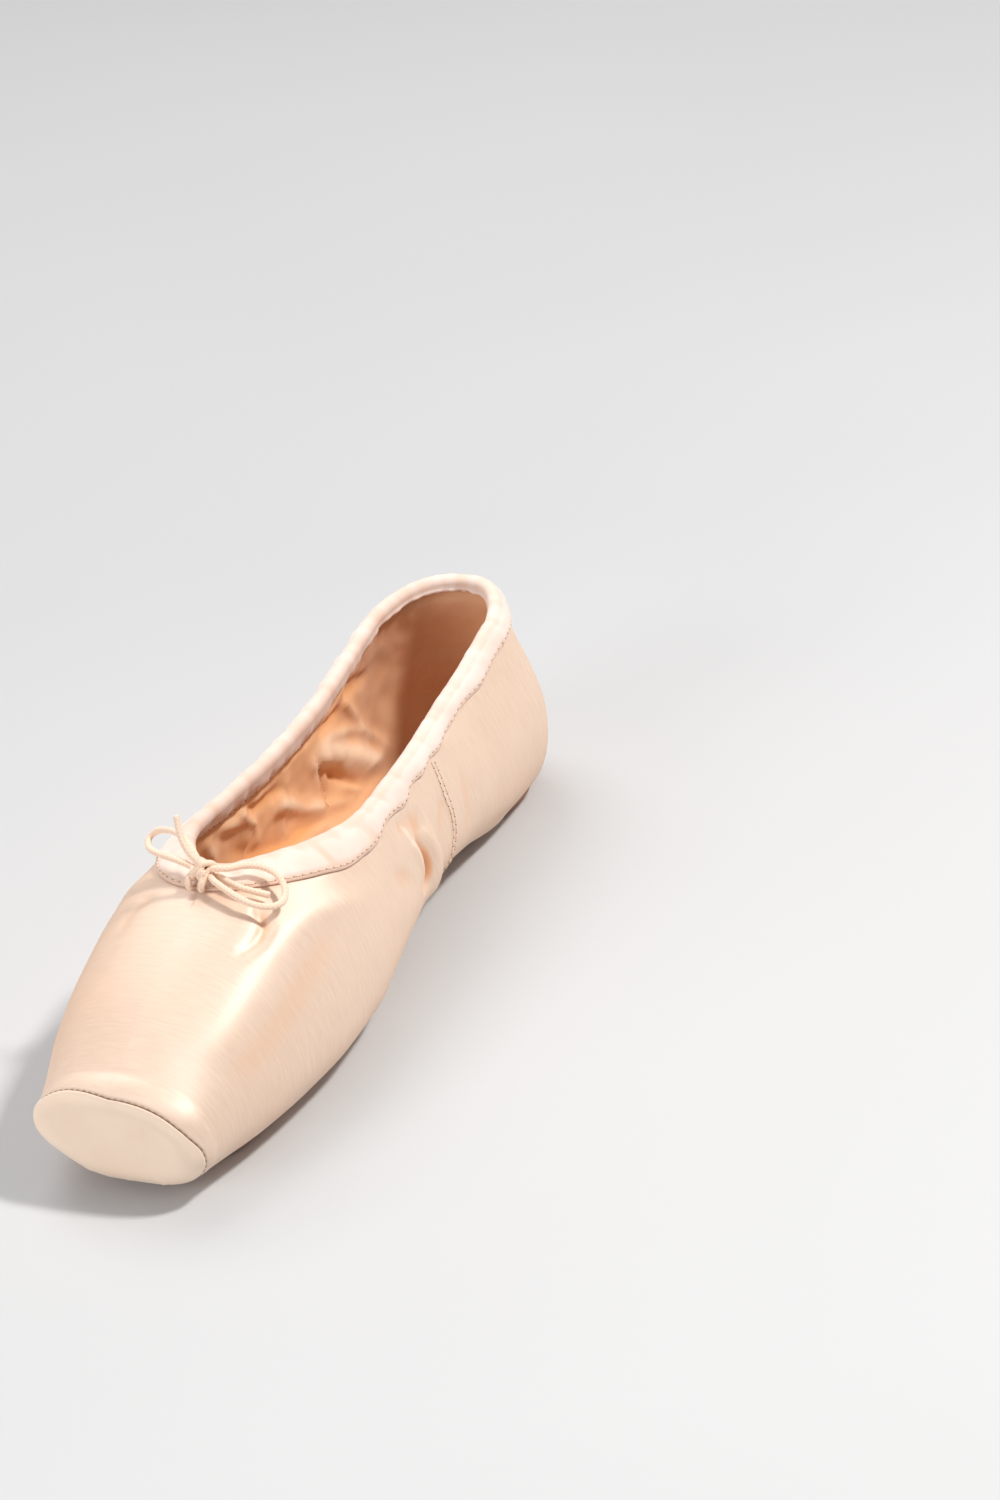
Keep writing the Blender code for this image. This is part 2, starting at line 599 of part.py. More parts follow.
def main():
    clear_scene()
    for name in (COLLECTION, CUTTERS):
        group = bpy.data.collections.get(name) or bpy.data.collections.new(name)
        if name not in bpy.context.scene.collection.children:
            bpy.context.scene.collection.children.link(group)
    shoe = bpy.data.objects.new("shoe_frame", None)
    bpy.data.collections[COLLECTION].objects.link(shoe)
    shoe.location.x = -(SHOE_LENGTH + PANEL_PROUD - GAP - STRAP_CLOTH) / 2
    build_upper(shoe)
    build_casing(shoe)
    build_tip_panel(shoe)
    build_back_strap(shoe)
    build_fore_sole(shoe)
    build_heel_patch(shoe)
    build_insole(shoe)
    build_bow(shoe)


main()
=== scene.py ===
"""Dress a split-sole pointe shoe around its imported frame: satin, lining, casing, soles, stitching and drawstring.

Lengths are metres from the heel's back on the floor, with +X to the toe, +Y to the shoe's left side and +Z up.
"""
import math

import bmesh
import bpy
import numpy as np
from mathutils import Matrix, Vector, noise


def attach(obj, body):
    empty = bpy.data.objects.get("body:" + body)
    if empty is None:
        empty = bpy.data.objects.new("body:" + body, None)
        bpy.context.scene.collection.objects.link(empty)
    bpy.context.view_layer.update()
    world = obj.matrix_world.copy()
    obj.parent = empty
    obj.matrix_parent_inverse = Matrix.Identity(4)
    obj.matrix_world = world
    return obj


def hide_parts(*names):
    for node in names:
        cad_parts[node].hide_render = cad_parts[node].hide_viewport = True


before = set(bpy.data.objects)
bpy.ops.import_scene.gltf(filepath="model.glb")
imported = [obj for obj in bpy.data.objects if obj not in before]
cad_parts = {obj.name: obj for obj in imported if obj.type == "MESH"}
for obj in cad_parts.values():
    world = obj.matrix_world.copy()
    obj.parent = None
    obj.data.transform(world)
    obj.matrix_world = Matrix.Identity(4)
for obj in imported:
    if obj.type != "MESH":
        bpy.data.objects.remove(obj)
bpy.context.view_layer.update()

MM = 0.001

# ---- the shoe's own form, as in the part's source ----
SHOE_LENGTH, BALL_WIDTH, INSTEP_HEIGHT, ARCH_RISE = 0.238, 0.074, 0.056, 0.0062
HEEL_REACH, VAMP_LENGTH, THROAT_REACH = 0.028, 0.071, 0.050
TIP_ROUND, TIP_LEAN, LEAN_REACH = 0.008, math.radians(5), 0.035
GAP, LOOSE_GAP = 0.0003, 0.0005
QUARTER_WALL, BOX_WALL, BOX_LENGTH, BOX_BLEND = 0.0014, 0.0030, 0.056, 0.025
SOLE_THICKNESS, INSOLE_THICKNESS = 0.0022, 0.0016
CASING_TAPE, CASING_OUTSIDE, CASING_INSIDE = 0.0008, 0.0095, 0.0080
CASING_SIDE, CASING_HEEL_INSIDE = 0.0064, 0.0026
PANEL_CLOTH, PANEL_PROUD = 0.0006, 0.0002
STRAP_CLOTH, STRAP_WIDTH = 0.0006, 0.016
FORE_SOLE_SETBACK, FORE_SOLE_LENGTH, FORE_SOLE_SHARE, FORE_SOLE_LAP = 0.014, 0.124, 0.66, 0.008
FRONT_ROUND_SHARE = 0.8
PATCH_FRONT, PATCH_BACK = 0.031, 0.0205
INSOLE_SETBACK, INSOLE_SHARE, INSOLE_ROUND_SHARE = 0.016, 0.70, 0.25
CORD_DIAMETER = 0.0018
KNOT_CENTRE = (0.0066, 0.0008, 0.0034)
COLUMNS = ("along", "width", "floor", "belly", "crown", "flat", "low", "high")
SECTIONS = (
    (0.118, 0.775, 0.00, 0.393, 1.250, 0.58, 2.4, 2.0),
    (0.200, 0.767, 0.00, 0.375, 1.180, 0.54, 2.4, 2.0),
    (0.300, 0.745, 0.55, 0.375, 1.110, 0.42, 2.2, 2.0),
    (0.400, 0.755, 1.00, 0.384, 1.090, 0.38, 2.2, 2.0),
    (0.500, 0.838, 0.68, 0.366, 1.080, 0.42, 2.2, 2.0),
    (0.580, 0.918, 0.16, 0.339, 1.060, 0.50, 2.2, 2.1),
    (0.645, 0.972, 0.00, 0.321, 1.030, 0.56, 2.2, 2.2),
    (0.720, 0.985, 0.00, 0.313, 0.985, 0.58, 2.2, 2.3),
    (0.800, 0.938, 0.00, 0.304, 0.896, 0.56, 2.2, 2.3),
    (0.880, 0.846, 0.03, 0.295, 0.768, 0.50, 2.2, 2.3),
    (0.950, 0.716, 0.10, 0.268, 0.615, 0.38, 2.1, 2.2),
    (1.000, 0.630, 0.20, 0.250, 0.490, 0.25, 2.0, 2.1),
)
HEEL_SECTION = (0.000, 0.775, 0.00, 0.430, 1.465, 0.50, 2.3, 2.0)
OPENING = ((0.118, 0.715), (0.250, 0.735), (0.400, 0.730), (0.500, 0.700), (0.600, 0.665), (0.680, 0.610))
HEEL_OPENING = 0.80
TIP_EDGE, ROUND_END, HEEL_START, HEEL_BACK = 1.0, 2.0, 3.0, 4.0
# Stations of the tip's seam, by the signed share at which it passes: it runs farther back on the sides
TIP_SEAM = ((-1.0, 1.38), (-0.86, 1.55), (-0.72, 1.67), (-0.50, 1.80), (-0.25, 1.74), (0.0, 1.68), (0.25, 1.72),
            (0.40, 1.70), (0.50, 1.62), (0.625, 1.42), (0.725, 1.37), (1.0, 1.38))
SEAM_STEP = 0.05
FLAT_SHARE, BELLY_SHARE = 0.2, 0.5
FORM_STEP, RIM_STEP = 1e-4, 0.02
SOLE_STACK = SOLE_THICKNESS + GAP
ROUND_START = SHOE_LENGTH - TIP_ROUND
THROAT = SHOE_LENGTH - VAMP_LENGTH
BOX_BACK = SHOE_LENGTH - BOX_LENGTH
FORE_SOLE_FRONT = SHOE_LENGTH - FORE_SOLE_SETBACK
FORE_SOLE_BACK = FORE_SOLE_FRONT - FORE_SOLE_LENGTH
INSOLE_FRONT = SHOE_LENGTH - INSOLE_SETBACK
INSOLE_ROUND = INSOLE_ROUND_SHARE * BALL_WIDTH
PANEL_RECESS = GAP + PANEL_CLOTH - PANEL_PROUD
MIDDLE = np.array([(SHOE_LENGTH + PANEL_PROUD - GAP - STRAP_CLOTH) / 2, 0.0, 0.0])
NEAR_LEAN, TIP_LIFT = 0.0030, 0.0042  # how far the near quarter leans in, and the tip's far corner lifts

# ---- how the cloth, the soles and the stitches are drawn ----
DOUBLED = 1e-6  # points nearer than this to each other become one
LINING_CLOTH, LINING_OFF = 0.0002, 0.00012  # the lining's thickness, and its least distance from the wall
LINING_EASE = 0.0013  # how far the lining stands off the wall where it has no fold
# The tip's rows: 0 at its middle, 1 at its edge and 2 at the seam, then shares of the way on to the sides' start
UNDER_PANEL = (0.0, 0.5, 1.0, 1.33, 1.66, 2.0)
PAST_SEAM = (0.0, 0.12, 0.26, 0.42, 0.58, 0.74, 0.88)
TIP_ROWS = len(UNDER_PANEL) + len(PAST_SEAM)
OUTSIDE_ROWS, RIM_ROWS, INSIDE_ROWS = 14, 9, 10
RIM_FOLD = 0.0012  # the tape's width over the rim
SCALLOP, SEAM_TUCK = 0.0030, 0.0016  # how far the tape's edge wanders, and how far the near side draws it up
PUCKERS = ((0.0062, 0.22, 0.3), (0.0041, 0.16, 1.9), (0.0105, 0.30, 4.0), (0.017, 0.26, 2.2))  # length, depth, turn
STITCH_INSET = 0.0008  # from the tape's edge to its row of stitches
STRAP_STITCH = 0.82  # share of the strap's half width at which its stitches run
PATCH_STITCH = 0.0026  # from the heel patch's edge in to its stitches
EDGE_DRAW, EDGE_ROUND = 0.0009, 0.0012  # how far a sole's edge is drawn back, and over what width
INSOLE_EDGE = 0.06  # share of the insole's half width over which its edge is drawn back
GROOVE_PITCH = 0.0021
SIZES = ("Pitch", "Stitch length", "Thread", "Hole", "Slant", "Zigzag")
FLOOR_HALF = 6.0


def travel_of(points):
    """Distance of each point of a line from its first, along the line."""
    return np.concatenate([[0], np.cumsum(np.linalg.norm(np.diff(points, axis=0), axis=1))])


def unit(vectors):
    """The same directions, each of length one."""
    return vectors / np.linalg.norm(vectors, axis=-1, keepdims=True)


def bell(at, width):
    """1 at 0, falling smoothly away on both sides."""
    return np.exp(-((at / width) ** 2))


def nearest_of(surface, points, *grids):
    """What grids over a surface hold at its points nearest to given ones."""
    flat = surface.reshape(-1, 3)
    nearest = [int(np.argmin(((flat - point) ** 2).sum(axis=1))) for point in points]
    return [grid.ravel()[nearest] for grid in grids]


def follow(table, at):
    """Smooth curve through rows of (place, value) that never passes a row's value between two rows."""
    xs, ys = np.array(table, float).T
    at = np.clip(at, xs[0], xs[-1])
    steps = np.diff(xs)
    slopes_between = np.diff(ys) / steps
    before, after = slopes_between[:-1], slopes_between[1:]
    weight_before, weight_after = 2 * steps[1:] + steps[:-1], steps[1:] + 2 * steps[:-1]
    same_way = before * after > 0
    safe_before, safe_after = np.where(same_way, before, 1.0), np.where(same_way, after, 1.0)
    mean = (weight_before + weight_after) / (weight_before / safe_before + weight_after / safe_after)
    tangents = np.concatenate([slopes_between[:1], np.where(same_way, mean, 0.0), slopes_between[-1:]])
    row = np.clip(np.searchsorted(xs, at, side="right") - 1, 0, len(xs) - 2)
    t = (at - xs[row]) / steps[row]
    rise = tangents[row] * t * (1 - t) ** 2 + tangents[row + 1] * t * t * (t - 1)
    return ys[row] + (ys[row + 1] - ys[row]) * t * t * (3 - 2 * t) + rise * steps[row]


def blend(start, end, at):
    """0 before start, 1 past end, with a smooth step between."""
    t = np.clip((at - start) / (end - start), 0, 1)
    return t * t * (3 - 2 * t)


def section(name, x, turned):
    column = COLUMNS.index(name)
    value = follow([(row[0] * SHOE_LENGTH, row[column]) for row in SECTIONS], x)
    return value + (HEEL_SECTION[column] - value) * turned


def station_x(s):
    return ROUND_START + (HEEL_REACH - ROUND_START) * np.clip(s - ROUND_END, 0, 1)


def station_of(x):
    return ROUND_END + (ROUND_START - x) / (ROUND_START - HEEL_REACH)


def turn_of(s):
    return np.clip(s - HEEL_START, 0, 1) * math.pi / 2


def half_width(s):
    return section("width", station_x(s), np.sin(turn_of(s)) ** 2) * BALL_WIDTH / 2


def opening_share(s):
    x = station_x(s)
    side = follow([(along * SHOE_LENGTH, share) for along, share in OPENING], x)
    side = side + (HEEL_OPENING - side) * np.sin(turn_of(s)) ** 2
    inside = np.clip((THROAT - x) / THROAT_REACH, 0, 1)
    return side * np.sqrt(1 - (1 - inside) ** 2)


def rim_share(s):
    """The half section's share at which the upper ends: 1 on the vamp, less at the collar."""
    high = section("high", station_x(s), np.sin(turn_of(s)) ** 2)
    return BELLY_SHARE + (1 - BELLY_SHARE) * np.arccos(opening_share(s) ** (high / 2)) / (math.pi / 2)


def half_form(s, q):
    x, turn = station_x(s), turn_of(s)
    turned = np.sin(turn) ** 2
    width = half_width(s)
    floor = SOLE_STACK + section("floor", x, turned) * ARCH_RISE
    belly = section("belly", x, turned) * INSTEP_HEIGHT
    crown = section("crown", x, turned) * INSTEP_HEIGHT
    flat, low, high = (section(name, x, turned) for name in ("flat", "low", "high"))

    low_angle = np.clip((q - FLAT_SHARE) / (BELLY_SHARE - FLAT_SHARE), 0, 1) * math.pi / 2
    high_angle = np.clip((q - BELLY_SHARE) / (1 - BELLY_SHARE), 0, 1) * math.pi / 2
    y = width * np.where(
        q < FLAT_SHARE,
        flat * q / FLAT_SHARE,
        np.where(q < BELLY_SHARE, flat + (1 - flat) * np.sin(low_angle) ** (2 / low),
                 np.abs(np.cos(high_angle)) ** (2 / high)),
    )
    z = np.where(
        q < BELLY_SHARE,
        belly - (belly - floor) * np.abs(np.cos(low_angle)) ** (2 / low),
        belly + (crown - belly) * np.sin(high_angle) ** (2 / high),
    )
    edge = np.clip(s - TIP_EDGE, 0, 1) * math.pi / 2
    inset = TIP_ROUND * (1 - np.sin(edge))
    middle, half_height = (floor + crown) / 2, (crown - floor) / 2
    y = y * (1 - inset / width) * np.clip(s, 0, 1)
    z = middle + (z - middle) * (1 - inset / half_height) * np.clip(s, 0, 1)
    x = x + TIP_ROUND * np.cos(edge)

    reach = 1 / np.sqrt((np.cos(turn) / width) ** 2 + (np.sin(turn) / HEEL_REACH) ** 2)
    out = y * reach / width
    x = x - out * np.sin(turn)
    y = np.where(turn > 0, out * np.cos(turn), y)
    bent = np.clip((x - (SHOE_LENGTH - LEAN_REACH)) / LEAN_REACH, 0, 1) ** 2
    x = x - (z - floor - TIP_ROUND) * math.tan(TIP_LEAN) * bent
    return np.stack([x, y, z], axis=-1)


def spread(s, q):
    """Stations, shares without their sign, and the side that each share's sign names: left 1, right -1."""
    s, q = np.broadcast_arrays(np.asarray(s, float), np.asarray(q, float))
    return s, np.abs(q), np.where(q < 0, -1.0, 1.0)


def settle(points):
    """The worn shoe's own unevenness: the near quarter leans in at the heel, and the tip's far corner lifts."""
    x, y, z = points[..., 0], points[..., 1], points[..., 2]
    lean = NEAR_LEAN * (1 - blend(0.055, 0.100, x)) * blend(0.022, 0.050, z) * blend(0.006, 0.021, y)
    lift = TIP_LIFT * blend(0.205, 0.236, x) * blend(0.003, 0.020, -y) * (1 - blend(0.010, 0.026, z))
    return np.stack([x, y - lean, z + lift], axis=-1)


def form(s, q):
    """Points of the shoe's outer form at station s and share q of the half section, negative on the right."""
    s, q, side = spread(s, q)
    points = half_form(s, q)
    points[..., 1] *= side
    return settle(points)


def slopes(s, q):
    """How the points move with s and with the share's size."""
    s, q, side = spread(s, q)
    s_low, s_high = np.maximum(s - FORM_STEP, 0), np.minimum(s + FORM_STEP, HEEL_BACK)
    q_low, q_high = np.maximum(q - FORM_STEP, 0), np.minimum(q + FORM_STEP, 1)
    along = (form(s_high, side * q) - form(s_low, side * q)) / (s_high - s_low)[..., None]
    around = (form(s, side * q_high) - form(s, side * q_low)) / (q_high - q_low)[..., None]
    return along, around


def normal(s, q):
    """The form's outward direction."""
    s, q, side = spread(s, q)
    along, around = slopes(s, side * q)
    out = np.cross(along, around) * side[..., None]
    on_plane = (np.abs(half_form(s, q)[..., 1]) < 1e-7) | (s >= HEEL_BACK)
    out[..., 1] = np.where(on_plane, 0.0, out[..., 1])
    size = np.linalg.norm(out, axis=-1, keepdims=True)
    ahead = np.array([math.cos(TIP_LEAN), 0.0, math.sin(TIP_LEAN)])
    on_tip = (s < TIP_EDGE)[..., None]
    pole = np.where(on_tip, ahead, np.array([0.0, 0.0, -1.0]))
    return np.where(on_tip | (size < 1e-9), pole, out / np.maximum(size, 1e-12))


def skin(s, q, out):
    """Points at a distance outside the form, or inside it where out is negative."""
    s, q = np.broadcast_arrays(np.asarray(s, float), np.asarray(q, float))
    return form(s, q) + normal(s, q) * np.broadcast_to(out, s.shape)[..., None]


def wall(s, q):
    x = form(s, q)[..., 0]
    return QUARTER_WALL + (BOX_WALL - QUARTER_WALL) * blend(BOX_BACK, BOX_BACK + BOX_BLEND, x)


def share_at(s, y):
    """The share below the belly at which the section at s is y wide to one side, negative on the right."""
    shares = np.linspace(0, BELLY_SHARE, 300)
    section_y = half_form(np.full(300, min(s, HEEL_START)), shares)[:, 1]
    unturned = half_width(s) / half_width(min(s, HEEL_START))
    return np.sign(y) * np.interp(np.abs(y), section_y * unturned, shares)


def slide(s, q, side, step):
    """Stations and sizes of shares after moving points along the form by given vectors."""
    along, around = slopes(s, side * q)
    aa, ab, bb = (np.sum(m * n, axis=1) for m, n in ((along, along), (along, around), (around, around)))
    aw, bw = (np.sum(m * step, axis=1) for m in (along, around))
    det = np.maximum(aa * bb - ab * ab, 1e-18)
    s = np.clip(s + (bb * aw - ab * bw) / det, ROUND_END, HEEL_BACK)
    return s, np.clip(q + (aa * bw - ab * aw) / det, 0.0, 1.0)


def walk_from_rim(s, distance, side=1, steps=6):
    """Stations and signed shares of points a distance from one side's rim, square to it, and the way back up."""
    s, throat = np.array(s, float), station_of(THROAT)
    q = rim_share(s)
    before, after = np.maximum(s - RIM_STEP, throat), np.minimum(s + RIM_STEP, HEEL_BACK)
    tangent = form(after, side * rim_share(after)) - form(before, side * rim_share(before))
    tangent[s <= throat] = (0.0, side, 0.0)
    tangent[s >= HEEL_BACK] = (0.0, -side, 0.0)
    way = np.cross(tangent, normal(s, side * q)) * side
    step = np.broadcast_to(distance, s.shape)[:, None] / steps
    for _ in range(steps):
        out = normal(s, side * q)
        way = unit(way - out * np.sum(way * out, axis=1, keepdims=True))
        s, q = slide(s, q, side, way * step)
    return s, side * q, -way


def nearest_place(points, side):
    """Stations and signed shares of the form's points nearest to given points on one side."""
    s_grid = np.concatenate([np.linspace(ROUND_END, HEEL_START, 90), np.linspace(HEEL_START, HEEL_BACK, 40)[1:]])
    grid_s, grid_q = np.meshgrid(s_grid, np.linspace(0.001, 1, 200), indexing="ij")
    s, q = nearest_of(form(grid_s, side * grid_q), points, grid_s, grid_q)
    for _ in range(4):
        s, q = slide(s, q, side, points - form(s, side * q))
    return s, side * q


def tape_width(x):
    """Width of the casing's outside band: full at the throat, narrower along the quarter, wider again at the back."""
    side = CASING_SIDE - 0.0013 * blend(0.008, 0.022, x)
    return side + (CASING_OUTSIDE - side) * blend(0.095, 0.150, x)


def tape_inside(x):
    """Width of the casing's inside band, which runs out towards the heel's back."""
    return CASING_HEEL_INSIDE + (CASING_INSIDE - CASING_HEEL_INSIDE) * blend(0.015, 0.070, x)


def below_rim(s, q):
    """Rough distance along the form from a point down the side to the collar's rim, large on the vamp's front."""
    s, q, _ = spread(s, q)
    fine = np.linspace(0, 1, 9)[:, None]
    flat_s, flat_q = s.ravel(), q.ravel()
    top = rim_share(np.maximum(flat_s, station_of(THROAT)))
    path = half_form(np.broadcast_to(flat_s, (9, flat_s.size)), flat_q + (top - flat_q) * fine)
    down = np.linalg.norm(np.diff(path, axis=0), axis=2).sum(axis=0)
    ahead = np.maximum(station_x(flat_s) - THROAT, 0)
    return np.hypot(np.where(flat_q < top, down, 0), ahead).reshape(s.shape)


# ---- folds of the cloth ----
# Ridges and troughs, each with its height and half width in mm, where it is highest, and the points that it
# runs through in mm from the heel's back on the floor
SATIN_FOLDS = (
    # the gathered fold at the near side's arch, with the swellings on both sides of it
    (-3.6, 1.2, "middle", (106.2, 28.4, 32.5), (107.0, 28.9, 29), (107.4, 29.2, 25.5), (108.8, 29.4, 22),
     (111.5, 29.2, 19)),
    (-1.1, 2.4, "even", (103, 27, 39), (105.5, 28.2, 33), (107.8, 29.2, 25), (112, 29.2, 18)),
    (3.2, 3.1, "middle", (100.5, 27.6, 34), (101.3, 28.2, 28), (102.6, 28.3, 23), (105, 27.6, 18), (107, 26.5, 15)),
    (1.4, 2.0, "middle", (111.6, 28.4, 35), (110.3, 29.3, 31), (110.6, 30, 27), (113, 30.5, 22.5)),
    (-0.8, 3.0, "even", (116, 26, 41), (107, 26.2, 39.4), (99, 26.8, 37.5)),
    (-0.9, 3.4, "middle", (129, 31, 34), (121, 31, 30), (117, 30.5, 24)),
    # the vamp's near side, a shallow hollow below a soft shoulder
    (-0.7, 6.0, "even", (160, 31.3, 41), (181.6, 31.5, 36.8), (195.8, 30.9, 32.3), (211.5, 28.2, 28.7),
     (223.1, 24.6, 25.3)),
    (0.5, 5.0, "even", (176, 24, 46), (190, 22.6, 44), (206, 21, 38), (221, 18, 31.5)),
    (-0.7, 2.4, "start", (88, 27, 33), (93, 27.5, 27), (96, 26, 18)),
    # the drape beside the throat
    (-1.8, 1.7, "start", (177.4, 17.6, 51), (179.8, 20.4, 48.7), (184.6, 20.6, 47.2), (192, 18, 46.4)),
    (0.8, 4.0, "middle", (180, 24, 46), (168, 27, 45.3), (150, 31, 39.2), (134, 30.5, 37)),
    (0.5, 2.5, "start", (173.5, 14, 53), (179, 15, 51.5), (188, 13, 49.5)),
    # the near quarter
    (-0.7, 3.2, "middle", (72, 25.5, 36), (74, 27.5, 27), (78, 26.5, 16)),
    (0.5, 4.0, "middle", (64, 25, 36), (62, 28, 26), (66, 27, 14)),
    (-0.5, 2.6, "start", (57, 24.5, 43.5), (55, 26.5, 36), (50, 28, 29)),
    (-0.5, 3.0, "middle", (62, 25, 10.5), (52, 25.2, 8.5), (40, 23.5, 6.5)),
    (0.45, 2.8, "start", (112, 24.5, 44), (104, 25, 42), (96, 26.5, 37)),
    # the far side
    (-2.0, 2.3, "middle", (104, -26.9, 37), (106.5, -28.2, 31), (108.5, -29.0, 25), (113, -28.8, 18)),
    (1.3, 4.6, "middle", (98, -26.6, 36), (97, -27.8, 28), (99, -27, 18)),
    (0.8, 3.6, "middle", (120, -27.8, 40), (114, -29, 33), (115, -30, 25)),
    (-0.8, 3.0, "middle", (88, -26.8, 35), (91, -27.6, 27), (90, -26, 17)),
    (-0.8, 2.2, "start", (178.5, -15.5, 51), (182.5, -18.5, 48.6), (189, -18.5, 47)),
    (0.6, 3.6, "middle", (178, -22, 47), (165, -27.5, 44.5), (146, -31, 39)),
    (-0.6, 3.2, "middle", (70, -25.5, 36), (73, -27.5, 27), (76, -26.5, 16)),
    (0.5, 4.2, "middle", (60, -25.5, 36), (58, -28.2, 26), (64, -27, 14)),
    (-0.5, 3.0, "start", (48, -25, 44), (46, -27.5, 36), (44, -28.6, 28)),
    # gathers that run in under the arch to its middle seam
    (-0.9, 1.7, "start", (103, 2.5, 6.5), (101, 9, 7.0), (103, 17, 8.5), (106, 24, 13)),
    (0.7, 2.2, "middle", (97, 2.5, 8), (96, 10, 8.3), (98, 18, 10)),
    (-0.8, 1.8, "start", (88, 2.5, 8.6), (88, 9, 8.8), (91, 17, 10.4)),
    (-0.7, 1.8, "start", (68, 4, 6.5), (72, 11, 7.4), (74, 19, 9.8)),
    (-0.9, 1.8, "start", (101, -2.5, 7), (100, -9, 7.3), (103, -17, 8.8), (107, -24, 13)),
    (0.7, 2.4, "middle", (94, -2.5, 8.3), (94, -10, 8.6), (95, -18, 10.2)),
    (-0.8, 1.9, "start", (83, -2.5, 8.6), (84, -9, 8.8), (86, -17, 10.4)),
    (-0.6, 1.7, "start", (66, -4, 6.3), (69, -11, 7.0), (72, -19, 9.6)),
)

# Painted shade at the deep end of the arch's fold, which only the finish's fold map has: it darkens the satin's colour
# there and leaves the shape as it is
ARCH_POCKET_SHADE = (
    (-3.4, 1.3, "middle", (104.8, 28.6, 30), (105.4, 28.9, 27), (106.0, 29.1, 24), (107.2, 29.1, 20.5)),
    (-1.4, 1.2, "middle", (105.2, -28.7, 28), (105.8, -29.0, 24.5), (107, -29, 20.5)),
)

LINING_FOLDS = (
    # the far side: the great fold at the heel's front and the hollow under it
    (3.6, 5.0, "even", (72, -25, 35), (62, -25.6, 30), (50, -27, 22.5), (39, -26.8, 14), (31, -24.5, 7), (26, -20, 3)),
    (1.3, 1.7, "even", (64, -25, 36), (58, -25.4, 34), (46, -26.7, 28.8), (35, -27.2, 22.5), (27, -26.4, 15),
     (22, -22, 8)),
    (-1.5, 1.6, "even", (66, -25.4, 27), (60, -25.8, 22.5), (51, -26.5, 14), (43, -25, 7)),
    (1.7, 1.9, "start", (45, -25.4, 37.5), (42.2, -26, 33.6), (37.4, -26.9, 27.9), (34, -27.2, 22.5)),
    (-1.4, 2.2, "even", (48, -24, 41.5), (43.3, -24.2, 41), (32.4, -25.4, 38.2), (28, -25.6, 38)),
    (-1.4, 1.9, "even", (48, -24.8, 37), (53, -24.8, 37.4), (61.8, -24, 38), (66, -24, 38)),
    (1.5, 1.6, "middle", (54, -26, 14), (50.4, -25.6, 11.5), (45.5, -23.5, 7.3), (42, -21, 5)),
    (1.4, 1.8, "middle", (46, -24, 6.5), (54, -22.8, 7.6), (60, -24.4, 10.5), (66, -25, 14)),
    # its seam
    (-1.0, 0.7, "even", (69.5, -24.9, 34.5), (68, -25.2, 31), (64.6, -26.2, 24.1), (64, -26.1, 17.5),
     (65, -24.5, 12.9)),
    (0.5, 1.6, "even", (72, -24.9, 34), (67.4, -26.1, 24), (66.6, -26, 17.5), (67.6, -24.6, 13)),
    (0.5, 1.6, "even", (66.5, -24.9, 34), (62, -26.2, 24), (61.4, -26.1, 17.5), (62.4, -24.8, 13)),
    # the far side ahead of its seam
    (2.2, 2.9, "even", (93, -26.2, 31), (84, -26.1, 25.3), (77, -26.1, 19.7), (71, -25.5, 16.1), (66, -24.2, 12.4)),
    (-1.4, 3.0, "even", (116, -28.6, 28), (102, -26.8, 18.9), (93.5, -24.8, 15.8), (82.5, -23.7, 13.8),
     (69, -22.8, 11)),
    (2.2, 1.1, "even", (104, -24, 15), (97.3, -23.2, 13.8), (87.9, -22, 12.7), (75.9, -22.1, 11.4), (66, -21, 9.4)),
    (-1.4, 2.1, "even", (84, -25, 32), (87, -25.3, 32.3), (95, -25, 34.3), (103, -25.3, 35.1), (110, -25.2, 38)),
    (1.5, 1.7, "start", (110.5, -25, 38.7), (104.5, -26.3, 31.8), (102.3, -26.8, 27.1), (102, -26.8, 23)),
    (1.5, 2.6, "middle", (121, -26, 40), (118.6, -26, 38.9), (113.2, -26.2, 36.6), (107, -26, 34.5)),
    (1.3, 2.4, "start", (86, -25.2, 33), (92, -26.2, 29), (100, -27, 25), (108, -27.8, 22)),
    (1.6, 2.3, "start", (128, -27.4, 38), (124, -28.8, 32), (121, -29.2, 25)),
    (1.6, 2.4, "start", (142, -28.6, 37), (138, -30.6, 31), (134, -31, 23)),
    # the near side
    (2.8, 3.2, "even", (66, 24.4, 36), (56, 26, 31), (46, 26.2, 24), (36, 25.8, 16), (30, 24, 9)),
    (2.0, 2.8, "middle", (114, 26, 39), (104, 27.2, 29), (97, 26.5, 19)),
    (2.0, 2.4, "even", (92, 25, 36), (84, 26, 27), (74, 25.8, 18), (66, 24.4, 12)),
    (-1.2, 2.6, "even", (100, 26, 24), (88, 25, 17), (74, 23.5, 12)),
    (1.7, 2.2, "start", (129, 27.5, 38), (124, 29, 30), (120, 29, 22)),
    (1.5, 2.4, "start", (144, 29, 37), (140, 31, 28), (136, 31, 20)),
)

TIP_FOLDS = (
    (0.65, 0.9, "start", (236.0, 12.2, 6.5), (236.9, 11.3, 13.5), (236.6, 9.6, 20), (236.0, 8.2, 25)),
    (-0.65, 0.8, "start", (236.0, 10.6, 6.5), (236.9, 9.9, 13.5), (236.6, 8.2, 20), (236.0, 6.8, 25)),
    (0.22, 1.0, "start", (236.0, -9.5, 6.5), (236.9, -8.0, 12), (236.6, -6.0, 17)),
    (0.22, 0.9, "start", (236.0, 2.0, 6.0), (236.9, 1.6, 11), (236.6, 1.4, 15)),
)


